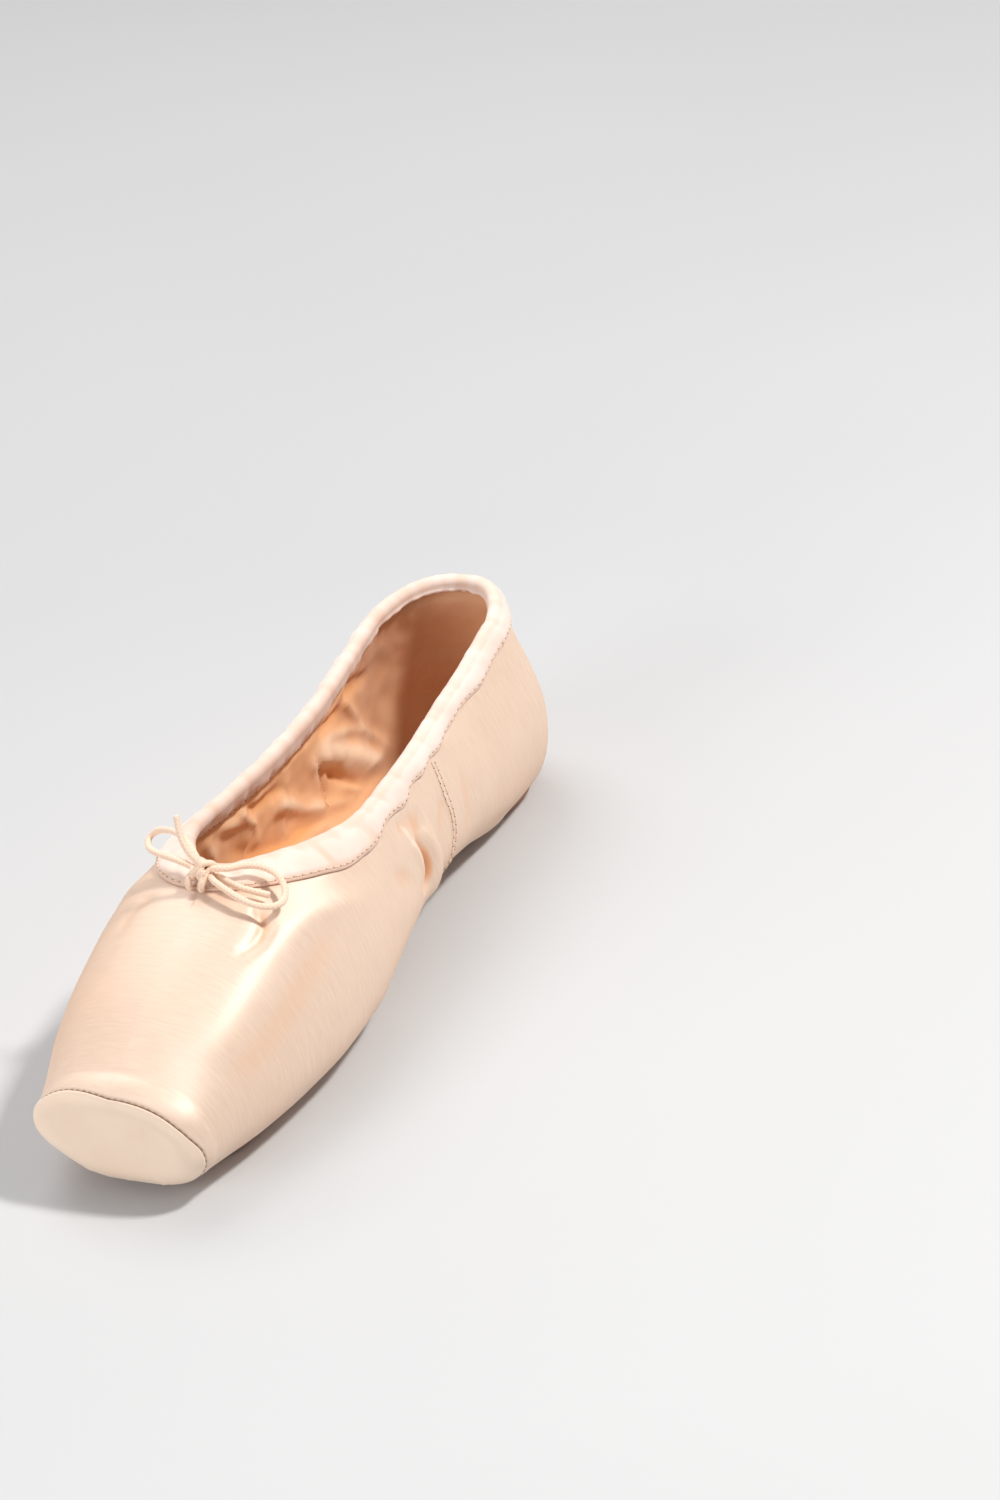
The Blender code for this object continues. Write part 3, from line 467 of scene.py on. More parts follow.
def relief(points, folds):
    """Height of the folds at points, in metres."""
    height = np.zeros(points.shape[:-1])
    for rise, spread_mm, full, *line in folds:
        line = np.array(line) * MM
        travel = travel_of(line)
        nearest, place = np.full(height.shape, 1.0), np.zeros(height.shape)
        for start, end, gone, then in zip(line, line[1:], travel, travel[1:]):
            way = end - start
            t = np.clip(((points - start) @ way) / (way @ way), 0, 1)
            away = np.linalg.norm(points - start - t[..., None] * way, axis=-1)
            closer = away < nearest
            nearest = np.where(closer, away, nearest)
            place = np.where(closer, (gone + t * (then - gone)) / travel[-1], place)
        if full == "even":
            lengthways = blend(0, 0.18, place) * (1 - blend(0.82, 1, place))
        else:
            lengthways = np.sin(math.pi * place) if full == "middle" else np.cos(math.pi / 2 * place)
        height += rise * MM * bell(nearest, spread_mm * MM) * (0.15 + 0.85 * np.clip(lengthways, 0, 1) ** 0.8)
    return height


def soft_noise(points, size, seed):
    """Smooth noise from about -1 to 1 with lumps of a size."""
    values = [noise.noise(Vector(point)) for point in points.reshape(-1, 3) / size + seed]
    return np.array(values).reshape(points.shape[:-1])


# Side seams of the upper, in mm, from the casing down and in to the arch's middle
SIDE_SEAM = ((82.4, 24.0, 43.2), (84.2, 26.3, 35.6), (84.6, 27.3, 30.5), (85.6, 27.7, 25.4), (87.6, 27.4, 20.5),
             (90.2, 26.0, 15.6), (92.6, 22.5, 11.2), (94.2, 17.0, 8.9), (95.2, 10.0, 8.2), (95.6, 2.2, 8.0))
LINING_SEAM = ((69.5, -25, 32.9), (66.5, -26, 27), (64.4, -26.2, 20.5), (64.8, -24.4, 13))  # the far side's
SEAM_HALF = 0.0009  # from the seam's line to each of its rows of stitches


def seam_relief(points):
    """A narrow valley along each side seam between two low welts, and along the arch's middle seam."""
    height = np.zeros(len(points))
    for side in (1, -1):
        line = smooth_line(np.array(SIDE_SEAM) * (MM, side * MM, MM), 0.002)
        away = np.min(np.linalg.norm(points[:, None] - line, axis=-1), axis=-1)
        height += 0.00035 * bell(away - SEAM_HALF, 0.0007) - 0.0006 * bell(away, 0.0004)
    x, y, z = points.T
    under = blend(0.056, 0.060, x) * (1 - blend(0.106, 0.110, x)) * (z < 0.012)
    return height + under * (0.0003 * bell(np.abs(y) - 0.0022, 0.0011) - 0.0004 * bell(y, 0.0004))


def smooth_line(points, spacing):
    """Evenly spaced points on the smooth curve through a line's own points."""
    points = np.array(points, float)
    route = np.array([2 * points[0] - points[1], *points, 2 * points[-1] - points[-2]])
    fine = []
    for before, start, end, after in zip(route, route[1:], route[2:], route[3:]):
        for t in np.arange(16) / 16:
            bend = (2 * before - 5 * start + 4 * end - after) * t * t + (3 * start - before - 3 * end + after) * t**3
            fine.append(start + ((end - before) * t + bend) / 2)
    fine = np.array([*fine, route[-2]])
    travel = travel_of(fine)
    even = np.linspace(0, travel[-1], max(2, round(travel[-1] / spacing)) + 1)
    return np.stack([np.interp(even, travel, column) for column in fine.T], axis=1)


def satin_relief(s, q):
    """Height of folds, gathers and seams of the satin at stations and shares."""
    points = form(s, q)
    x = points[..., 0]
    drape = soft_noise(points, 0.021, 3.1) * (0.00005 + 0.00030 * (1 - blend(0.150, 0.185, x)))
    down, band = below_rim(s, q), tape_width(x)
    ring = np.where(station_x(s) > HEEL_REACH, station_x(s), HEEL_REACH - turn_of(s) * HEEL_REACH)
    gathers = soft_noise(np.stack([ring, np.sign(q) * 0.5 + 0 * ring, down * 0.25], -1), 0.0036, 8.7)
    gathers = gathers * 0.00042 * np.exp(-np.maximum(down - band, 0) / 0.0045)
    seams = np.zeros(x.shape)
    near = (x > 0.055) & (x < 0.112)
    seams[near] = seam_relief(points[near])
    total = relief(points, SATIN_FOLDS) + drape + gathers + seams
    covered = blend(follow(TIP_SEAM, q) + SEAM_STEP, 2.0, s)
    under_casing = blend(band - 0.0012, band + 0.0022, down)
    under_sole = sole_cover(s, q)
    raised = np.maximum(total, 0) * covered * under_casing * under_sole
    return raised + np.minimum(total, 0) * covered * (0.3 + 0.7 * under_casing) * under_sole


def fore_sole_half(x, lap=0.0):
    """Half the forepart sole's width at x, less a lap all round."""
    back, front = FORE_SOLE_BACK + lap, FORE_SOLE_FRONT - lap
    full = FORE_SOLE_SHARE * half_width(station_of(x)) - lap
    near_back = np.clip((x - back) / full, 0, 1)
    near_front = np.clip((front - x) / (full * FRONT_ROUND_SHARE), 0, 1)
    return full * np.sqrt(1 - (1 - near_back) ** 2) * np.sqrt(1 - (1 - near_front) ** 2)


def patch_reach(x, y):
    """How far out of the heel patch's middle a place is, 1 on its outline."""
    return np.hypot(x / np.where(x > 0, PATCH_FRONT, PATCH_BACK), y / PATCH_BACK)


def sole_cover(s, q):
    """0 under the soles and the heel's strap, 1 clear of them."""
    points = form(s, q)
    x, y, z = points[..., 0], np.abs(points[..., 1]), points[..., 2]
    low = z < 0.013
    half = fore_sole_half(np.clip(x, FORE_SOLE_BACK, FORE_SOLE_FRONT))
    inside_fore = np.where(x > FORE_SOLE_FRONT + 0.001, -1, (half + 0.001 - y) * (x > FORE_SOLE_BACK - 0.001))
    fore = blend(0, 0.002, inside_fore) * low
    patch = (1 - blend(1.02, 1.12, patch_reach(x - HEEL_REACH, y))) * low
    strap = (1 - blend(STRAP_WIDTH / 2, STRAP_WIDTH / 2 + 0.002, y)) * (x < 0.012)
    return 1 - np.clip(fore + patch + strap, 0, 1)


# ---- meshes ----
def grid_mesh(name, rows, uv, wrap=False, skip=None, folds=None):
    """A mesh of four-sided faces through rows of points, with a UV map in metres and no doubled points.

    folds, in metres, is the fold map: mostly how far each point is raised or lowered, with painted shade added in
    places; a second UV map keeps it in mm for the finishes, which paint shade and light from it.
    """
    rows = rows - MIDDLE
    count, width = rows.shape[:2]
    i, j = (way.ravel() for way in np.meshgrid(np.arange(count - 1), np.arange(width - (not wrap)), indexing="ij"))
    if skip is not None:
        keep = ~skip[i, j]
        i, j = i[keep], j[keep]
    after = (j + 1) % width
    corners = np.stack([i * width + j, (i + 1) * width + j, (i + 1) * width + after, i * width + after], axis=1)
    mesh = bpy.data.meshes.new(name)
    mesh.from_pydata(rows.reshape(-1, 3).tolist(), [], corners.tolist())
    mesh.uv_layers.new(name="UVMap").data.foreach_set("uv", uv.reshape(-1, 2)[corners.ravel()].ravel())
    if folds is not None:
        raised = folds.reshape(-1)[corners.ravel()] / MM
        mesh.uv_layers.new(name="folds").data.foreach_set("uv", np.stack([raised, raised * 0], axis=1).ravel())
    bm = bmesh.new()
    bm.from_mesh(mesh)
    bmesh.ops.remove_doubles(bm, verts=bm.verts, dist=DOUBLED)
    bmesh.ops.dissolve_degenerate(bm, edges=bm.edges, dist=DOUBLED / 10)
    bm.to_mesh(mesh)
    bm.free()
    mesh.shade_smooth()
    return mesh


def mesh_from(bm, name):
    mesh = bpy.data.meshes.new(name)
    bm.to_mesh(mesh)
    bm.free()
    return mesh


def add_object(name, data):
    added = bpy.data.objects.new(name, data)
    bpy.context.scene.collection.objects.link(added)
    return added


def add_piece(name, mesh, finish, slot, *replaced):
    piece = add_object(name, mesh)
    mesh.materials.append(finish)
    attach(piece, "root")
    if replaced:
        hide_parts(*replaced)
    return piece


def baked(piece):
    """The piece's mesh with its modifiers applied, which are then taken off."""
    graph = bpy.context.evaluated_depsgraph_get()
    mesh = bpy.data.meshes.new_from_object(piece.evaluated_get(graph), preserve_all_data_layers=True, depsgraph=graph)
    piece.modifiers.clear()
    old, piece.data = piece.data, mesh
    bpy.data.meshes.remove(old)
    mesh.name = piece.name


def folded(outer, inner):
    """Two grids side by side, the second turned round, so that the faces run on from one to the other."""
    return np.concatenate([outer, inner[:, ::-1]], axis=1)


def uv_of(rows):
    """UV in metres: along the shoe, the same for a whole row, and around it from the row's middle."""
    along, across = (np.linalg.norm(np.diff(rows, axis=axis), axis=2).cumsum(axis=axis) for axis in (0, 1))
    along = np.pad(along, ((1, 0), (0, 0))).mean(axis=1, keepdims=True)
    across = np.pad(across, ((0, 0), (1, 0)))
    return np.stack([np.broadcast_to(along, across.shape), across - across[:, [rows.shape[1] // 2]]], axis=-1)


# ---- finishes ----
def add_node(tree, kind, inputs, **settings):
    """A new node with its settings, and with each input linked to a socket or set to a value."""
    made = tree.nodes.new(kind)
    for key, value in settings.items():
        setattr(made, key, value)
    for key, value in inputs.items():
        if isinstance(value, bpy.types.NodeSocket):
            tree.links.new(value, made.inputs[key])
        else:
            made.inputs[key].default_value = value
    return made


class Finish:
    """A Principled material and its node tree, with short ways to add nodes."""

    def __init__(self, name, **constants):
        self.made = bpy.data.materials.new(name)
        self.made.use_nodes = True
        self.tree = self.made.node_tree
        self.shader = self.tree.nodes["Principled BSDF"]
        for socket, value in constants.items():
            self.shader.inputs[socket.replace("_", " ")].default_value = value

    def node(self, kind, output, inputs, **settings):
        return add_node(self.tree, "ShaderNode" + kind, inputs, **settings).outputs[output]

    def cloth(self, *scale):
        """The piece's own UV in metres, stretched by a scale."""
        uv = self.node("UVMap", "UV", {}, uv_map="UVMap")
        return self.node("Mapping", "Vector", {"Vector": uv, "Scale": (*scale, 1)})

    def place(self, *scale):
        """The piece's Object coordinates, stretched by a scale."""
        at = self.node("TexCoord", "Object", {})
        return self.node("Mapping", "Vector", {"Vector": at, "Scale": scale or (1, 1, 1)})

    def part(self, vector, axis):
        return self.node("SeparateXYZ", axis, {"Vector": vector})

    def painted_fold_share(self, start, end):
        """0 to 1 as the cloth's fold map goes from a start to an end, in mm, for painting shade into troughs and light
        onto crests.
        """
        return self.spread(self.part(self.node("UVMap", "UV", {}, uv_map="folds"), "X"), start, end)

    def noise(self, vector, detail=2.0, rough=0.5, scale=1.0):
        return self.node("TexNoise", "Fac", {"Vector": vector, "Scale": scale, "Detail": detail, "Roughness": rough})

    def patches(self, scale, detail):
        return self.noise(self.place(), detail, scale=scale)

    def waves(self, vector, scale, distortion, bands):
        inputs = {"Vector": vector, "Scale": scale, "Distortion": distortion, "Detail": 2}
        return self.node("TexWave", "Fac", inputs, bands_direction=bands)

    def math(self, operation, first, second):
        return self.node("Math", 0, {0: first, 1: second}, operation=operation)

    def both(self, first, share, second):
        """The first value with a share of the second added."""
        return self.math("ADD", self.math("MULTIPLY", second, share), first)

    def spread(self, value, low, high, new_low=0.0, new_high=1.0):
        return self.node("MapRange", "Result", {"Value": value, "From Min": low, "From Max": high,
                                                "To Min": new_low, "To Max": new_high})

    def mix(self, share, first, second):
        ends = (end if isinstance(end, bpy.types.NodeSocket) else (*end, 1.0) for end in (first, second))
        return self.node("Mix", 2, {"Factor": share, **dict(zip((6, 7), ends))}, data_type="RGBA")

    def bump(self, height, distance, strength, **under):
        return self.node("Bump", "Normal", {"Height": height, "Distance": distance, "Strength": strength, **under})

    def finish(self, **sockets):
        for socket, value in sockets.items():
            self.tree.links.new(value, self.shader.inputs[socket.replace("_", " ")])
        return self.made


def satin_finish():
    """Peach satin with fine streaks of its weave across the shoe, and painted shade that makes it warmer on its lower
    sides and in its folds.
    """
    f = Finish("satin", IOR=1.9, Metallic=0.07, Anisotropic=0.6, Specular_IOR_Level=1.0)
    streaks = f.noise(f.cloth(1500, 130), 4, 0.6)
    slubs = f.noise(f.cloth(520, 40), 3)
    weave = f.noise(f.cloth(5200, 2600), 1)
    patches = f.patches(38, 3)
    tone = f.mix(f.spread(streaks, 0.36, 0.66), (0.785, 0.555, 0.405), (0.845, 0.63, 0.48))
    tone = f.mix(f.spread(patches, 0.35, 0.7, 0.0, 0.3), tone, (0.86, 0.60, 0.43))
    # Painted shade: the lower sides behind the tip are turned warmer and darker, standing in for the satin's shading
    # where it turns away from the light
    height = f.both(f.part(f.place(), "Z"), 0.8, f.part(f.place(), "Y"))
    behind_tip = f.spread(f.part(f.place(), "X"), 0.113, 0.092)
    low = f.math("MULTIPLY", f.spread(height, 0.048, 0.008, 0.0, 0.55), behind_tip)
    tone = f.mix(low, tone, (0.80, 0.46, 0.26))
    # Painted shade: deeper orange where the fold map dips into troughs, darkest in the arch's fold
    tone = f.mix(f.painted_fold_share(-0.3, -2.2), tone, (0.82, 0.40, 0.18))
    tone = f.mix(f.painted_fold_share(-1.8, -4.2), tone, (0.62, 0.24, 0.08))
    rough = f.spread(f.math("ADD", streaks, patches), 0.7, 1.3, 0.54, 0.64)
    bump = f.bump(f.both(f.math("MULTIPLY", slubs, 0.5), 0.5, streaks), 0.00008, 0.55)
    bump = f.bump(weave, 0.000018, 0.5, Normal=bump)
    tangent = f.node("Tangent", 0, {}, direction_type="UV_MAP", uv_map="UVMap")
    return f.finish(Base_Color=tone, Roughness=rough, Normal=bump, Tangent=tangent)


def panel_finish():
    """The tip's smooth cloth, less streaked than the satin."""
    f = Finish("panel_cloth", IOR=1.45, Sheen_Weight=0.2, Sheen_Roughness=0.5)
    weave = f.noise(f.place(900, 2600, 2600), 2)
    patches = f.patches(60, 4)
    tone = f.mix(f.spread(patches, 0.35, 0.7), (0.88, 0.68, 0.525), (0.92, 0.735, 0.58))
    rough = f.spread(patches, 0.3, 0.7, 0.46, 0.6)
    return f.finish(Base_Color=tone, Roughness=rough, Normal=f.bump(weave, 0.00003, 0.5))


def tape_finish():
    """Pale cotton tape with a fine plain weave, and painted shade that turns it pinker between its puckers and on its
    inner band.
    """
    f = Finish("casing_tape", IOR=1.4, Sheen_Weight=0.3, Sheen_Roughness=0.5)
    ribs = f.waves(f.cloth(1, 1), 380, 1.5, "X")
    fibres = f.noise(f.cloth(2400, 2400), 3)
    tone = f.mix(f.spread(f.patches(70, 3), 0.35, 0.7), (0.84, 0.655, 0.56), (0.90, 0.755, 0.675))
    tone = f.mix(f.spread(fibres, 0.3, 0.55, 0.12, 0.0), tone, (0.76, 0.50, 0.37))
    # Painted shade: pinker in the troughs between the puckers
    tone = f.mix(f.painted_fold_share(0.35, -0.1), tone, (0.80, 0.52, 0.38))
    # Painted shade: pinkish-brown patches on the inner band
    inner_band = f.spread(f.part(f.cloth(1, 1), "Y"), 0.0015, 0.005)
    inner_band_shade = f.math("MULTIPLY", inner_band, f.spread(f.patches(110, 3), 0.48, 0.66))
    tone = f.mix(inner_band_shade, tone, (0.74, 0.46, 0.34))
    bump = f.bump(f.both(fibres, 0.35, ribs), 0.00006, 0.6)
    return f.finish(Base_Color=tone, Roughness=f.spread(fibres, 0.3, 0.7, 0.62, 0.78), Normal=bump)


def lining_finish():
    """Soft cotton drill lining with a fine twill, with painted shade that makes it deeper in its troughs and at the
    heel, and painted light on its crests.
    """
    f = Finish("lining_cloth", IOR=1.4, Sheen_Weight=0.15, Sheen_Roughness=0.5)
    twill = f.waves(f.cloth(1, 1), 520, 2.0, "DIAGONAL")
    nap = f.noise(f.cloth(1700, 1700), 4, 0.6)
    tone = f.mix(f.spread(f.patches(90, 4), 0.35, 0.7), (0.86, 0.485, 0.25), (0.92, 0.565, 0.32))
    # Painted shade, deeper orange, in the fold map's troughs, and painted light, paler, on its crests
    tone = f.mix(f.painted_fold_share(0.2, -1.5), tone, (0.88, 0.44, 0.18))
    tone = f.mix(f.painted_fold_share(0.7, 2.6), tone, (0.97, 0.74, 0.53))
    tone = f.mix(f.spread(nap, 0.35, 0.6, 0.15, 0.0), tone, (0.64, 0.32, 0.16))
    # Painted shade: darker and browner towards the heel's back, inside
    heel = f.spread(f.part(f.place(), "X"), -0.078, -0.092, 0.0, 0.46)
    tone = f.mix(heel, tone, (0.52, 0.29, 0.19))
    bump = f.bump(f.both(nap, 0.3, twill), 0.00007, 0.6)
    return f.finish(Base_Color=tone, Roughness=f.spread(nap, 0.3, 0.7, 0.75, 0.9), Normal=bump)


def insole_finish():
    """Brushed tan sock cloth with a worn nap."""
    f = Finish("insole_cloth", IOR=1.4, Sheen_Weight=0.3, Sheen_Roughness=0.6)
    nap = f.noise(f.place(), 4, 0.65, 1500)
    tone = f.mix(f.spread(f.patches(60, 4), 0.35, 0.7), (0.47, 0.235, 0.13), (0.57, 0.30, 0.175))
    tone = f.mix(f.spread(nap, 0.35, 0.6, 0.3, 0.0), tone, (0.34, 0.16, 0.09))
    return f.finish(Base_Color=tone, Roughness=f.spread(nap, 0.3, 0.7, 0.78, 0.92), Normal=f.bump(nap, 0.0002, 0.7))


def leather_finish():
    """Tan sole leather with pores, faint cloudy tone and small scuffs."""
    f = Finish("sole_leather", IOR=1.5)
    pores = f.node("TexVoronoi", "Distance", {"Vector": f.place(), "Scale": 1300})
    cells = f.noise(f.place(), 4, 0.6, 900)
    clouds = f.patches(45, 4)
    scuffs = f.noise(f.place(240, 1400, 240), 3, 0.7)
    tone = f.mix(f.spread(clouds, 0.32, 0.7), (0.50, 0.22, 0.112), (0.63, 0.305, 0.17))
    tone = f.mix(f.spread(cells, 0.3, 0.5, 0.35, 0.0), tone, (0.36, 0.14, 0.065))
    tone = f.mix(f.spread(scuffs, 0.66, 0.78, 0.0, 0.35), tone, (0.74, 0.44, 0.28))
    bump = f.bump(f.both(cells, 0.7, pores), 0.00014, 0.5)
    return f.finish(Base_Color=tone, Roughness=f.spread(clouds, 0.3, 0.7, 0.5, 0.64), Normal=bump)


def cord_finish():
    """Soft cotton cord with a fine braid."""
    f = Finish("cord_cotton", IOR=1.4, Sheen_Weight=0.3, Sheen_Roughness=0.5)
    braid = f.math("MAXIMUM", *(f.waves(f.cloth(1, lean), 560, 0.8, "DIAGONAL") for lean in (0.6, -0.6)))
    fibres = f.patches(2600, 3)
    tone = f.mix(f.spread(braid, 0.2, 0.9), (0.86, 0.61, 0.45), (0.92, 0.70, 0.54))
    bump = f.bump(f.both(f.math("MULTIPLY", fibres, 0.5), 0.6, braid), 0.00004, 0.6)
    return f.finish(Base_Color=tone, Roughness=f.spread(fibres, 0.3, 0.7, 0.55, 0.72), Normal=bump)


def thread_finish(name, dark, light):
    f = Finish(name, IOR=1.45, Sheen_Weight=0.2)
    twist = f.patches(2300, 2)
    tone = f.mix(f.spread(twist, 0.35, 0.65), dark, light)
    rough = f.spread(twist, 0.3, 0.7, 0.45, 0.65)
    return f.finish(Base_Color=tone, Roughness=rough, Normal=f.bump(twist, 0.00005, 0.5))


def floor_finish():
    """Pale studio floor with faint clouds, and painted light that makes it a little lighter towards the camera."""
    f = Finish("studio_floor", Roughness=0.75, Specular_IOR_Level=0.15)
    # Painted light: lighter towards the camera, darker away from it
    leaning = f.place(0.86, 0.51, 1)
    near = f.spread(f.math("ADD", f.part(leaning, "X"), f.part(leaning, "Y")), -0.25, 0.22)
    tone = f.mix(near, (0.535, 0.533, 0.54), (0.625, 0.625, 0.63))
    return f.finish(Base_Color=f.mix(f.spread(f.patches(3, 2), 0.3, 0.7, 0.0, 0.15), tone, (0.66, 0.66, 0.665)))


# ---- upper and lining ----
def foot_stations(step):
    """Stations from the toe's rounded edge to the heel's back, closer together at the side seams."""
    xs = [ROUND_START]
    while xs[-1] > HEEL_REACH:
        fine = 0.00045 if 0.081 < xs[-1] < 0.0965 else 0.0007 if 0.0965 <= xs[-1] < 0.119 else step
        xs.append(xs[-1] - min(step, fine))
    xs = [x for x in xs if abs(x - THROAT) > 0.3 * step and x > HEEL_REACH + 0.3 * step]
    xs += [THROAT, HEEL_REACH, *(THROAT - THROAT_REACH * (1 - math.cos(a)) for a in np.linspace(0.04, 0.5, 9))]
    return sorted({round(float(station_of(x)), 6) for x in xs})


def heel_stations(count):
    return [HEEL_START + k / count for k in range(1, count + 1)]


def column_shares(low, side, high):
    """Shares from -1 to 1 across a whole section, before the rim cuts them, closer together at its middle seam."""
    half = sorted({*np.linspace(0, FLAT_SHARE, low, endpoint=False), 0.004, 0.012, 0.02, 0.028,
                   *np.linspace(FLAT_SHARE, BELLY_SHARE, side, endpoint=False), *np.linspace(BELLY_SHARE, 1, high)})
    return np.array([*[-share for share in half[:0:-1]], *half])


def to_rim(shares, s):
    """Shares with their upper part squeezed to end at the rim of each station."""
    size = np.abs(shares)[None, :]
    upper_part = np.clip((size - BELLY_SHARE) / (1 - BELLY_SHARE), 0, 1)
    squeezed = np.minimum(size, BELLY_SHARE) + upper_part * (rim_share(s)[:, None] - BELLY_SHARE)
    return np.sign(shares)[None, :] * squeezed


def tip_rows(shares, beyond_tip):
    """Stations of the upper's rows, of which the first follow the tip's seam, and how deep each row is recessed."""
    rows = []
    for edge, place in zip(follow(TIP_SEAM, shares[:TIP_ROWS]), (*UNDER_PANEL, *PAST_SEAM)):
        if len(rows) >= len(UNDER_PANEL):
            rows.append(edge + SEAM_STEP + place * (ROUND_END - edge - SEAM_STEP))
        else:
            rows.append(np.full_like(edge, place) if place <= 1 else 1 + (place - 1) * (edge - 1))
    grid = np.concatenate([rows, np.broadcast_to(beyond_tip[:, None], (len(beyond_tip), shares.shape[1]))])
    recess = np.zeros((grid.shape[0], 1))
    recess[:len(UNDER_PANEL)] = PANEL_RECESS
    return grid, recess


def build_upper(satin):
    beyond_tip = np.array([*foot_stations(0.00115), *heel_stations(56)])
    stations = np.array([*np.linspace(0, 1, TIP_ROWS), *beyond_tip])
    outer_q = to_rim(column_shares(14, 34, 44), stations)
    inner_q = to_rim(column_shares(5, 7, 9), stations)
    outer_s, recess = tip_rows(outer_q, beyond_tip)
    inner_s, _ = tip_rows(inner_q, beyond_tip)
    folds = satin_relief(outer_s, outer_q)
    inner_folds = np.minimum(satin_relief(inner_s, inner_q), 0)
    outer = skin(outer_s, outer_q, folds - recess)
    inner = skin(inner_s, inner_q, inner_folds - wall(inner_s, inner_q))
    rows = folded(outer, inner)
    skip = np.zeros(rows.shape[:2], bool)
    vamp = np.array([*np.zeros(TIP_ROWS), *beyond_tip])[:-1] < station_of(THROAT) - 1e-9
    skip[:-1][vamp, outer.shape[1] - 1] = skip[:-1][vamp, rows.shape[1] - 1] = True
    # The fold map from which the satin's finish paints shade: the folds' heights with the arch pocket's painted shade
    # added, and the inner face raised so that it mostly stays clear of it
    fold_shade_map = folded(folds + relief(form(outer_s, outer_q), ARCH_POCKET_SHADE), inner_folds + 0.0008)
    uv = folded(uv_of(outer), uv_of(inner))
    mesh = grid_mesh("satin_upper", rows, uv, wrap=True, skip=skip, folds=fold_shade_map)
    upper = add_piece("satin_upper", mesh, satin, "satin", "upper")
    cutter = sole_cutter()
    opening = upper.modifiers.new("sole_opening", "BOOLEAN")
    opening.operation, opening.solver, opening.object = "DIFFERENCE", "EXACT", cutter
    baked(upper)
    bpy.data.objects.remove(cutter)


def sole_cutter():
    """The block that leaves the opening under the forepart sole."""
    back, front = FORE_SOLE_BACK + FORE_SOLE_LAP, FORE_SOLE_FRONT - FORE_SOLE_LAP
    xs = back + (front - back) * (1 - np.cos(np.linspace(0, math.pi, 33))) / 2
    left = [(x, float(fore_sole_half(x, FORE_SOLE_LAP))) for x in xs]
    outline = left + [(x, -y) for x, y in reversed(left[1:-1])]
    bm = bmesh.new()
    face = bm.faces.new([bm.verts.new((x - MIDDLE[0], y, -SOLE_STACK)) for x, y in outline])
    if face.normal.z > 0:
        face.normal_flip()
    top = bmesh.ops.extrude_face_region(bm, geom=[face])
    lifted = [item for item in top["geom"] if isinstance(item, bmesh.types.BMVert)]
    bmesh.ops.translate(bm, verts=lifted, vec=(0, 0, INSTEP_HEIGHT * 0.25))
    bmesh.ops.recalc_face_normals(bm, faces=bm.faces)
    return add_object("sole_cutter", mesh_from(bm, "sole_cutter"))


def lining_depth(s, q):
    """Distance from the form in to the lining's face, and the fold map from which its finish paints shade and light:
    how far its folds and crumples raise it, without the ease.
    """
    inside = skin(s, q, -wall(s, q))
    folds = relief(inside, LINING_FOLDS)
    quarter = 1 - blend(0.140, 0.175, inside[..., 0])
    crumple = soft_noise(inside, 0.010, 5.3) * 0.0007 + soft_noise(inside, 0.0045, 9.1) * 0.0003
    above_insole = blend(0.30, 0.41, np.abs(q))
    shade = (folds + crumple * quarter) * above_insole
    folds = np.maximum(folds + (crumple + LINING_EASE) * quarter, 0) * above_insole
    band = tape_inside(inside[..., 0])
    folds = folds * blend(band + 0.0001, band + 0.0036, below_rim(s, q))
    return wall(s, q) + LINING_OFF + folds - np.minimum(satin_relief(s, q), 0), shade


def build_lining(finish):
    stations = np.array([1.75, 1.87, *foot_stations(0.0011), *heel_stations(48)])
    shares = to_rim(column_shares(9, 28, 30), stations)
    grid_s = np.broadcast_to(stations[:, None], shares.shape)
    short = np.where(station_x(grid_s) < THROAT, 0.012, 0.0)
    shares = np.sign(shares) * np.minimum(np.abs(shares), rim_share(grid_s) - short)
    # folds here is the lining's fold map, from which its finish paints shade into troughs and light onto crests
    depth, folds = lining_depth(grid_s, shares)
    rows = skin(grid_s, shares, -depth)
    mesh = grid_mesh("lining", rows[:, ::-1], uv_of(rows)[:, ::-1], folds=folds[:, ::-1])
    lining = add_piece("lining", mesh, finish, "insole_cloth")
    cloth = lining.modifiers.new("cloth", "SOLIDIFY")
    cloth.thickness, cloth.offset = LINING_CLOTH, -1
    baked(lining)


# ---- casing ----
def collar_stations(count_throat, count_side, count_heel):
    turns = np.linspace(0, math.pi / 2, count_throat + 1)
    side = np.linspace(THROAT - THROAT_REACH, HEEL_REACH, count_side + 1)[1:]
    xs = np.concatenate([THROAT - THROAT_REACH * (1 - np.cos(turns)), side])
    return np.array([*station_of(xs), *heel_stations(count_heel)])


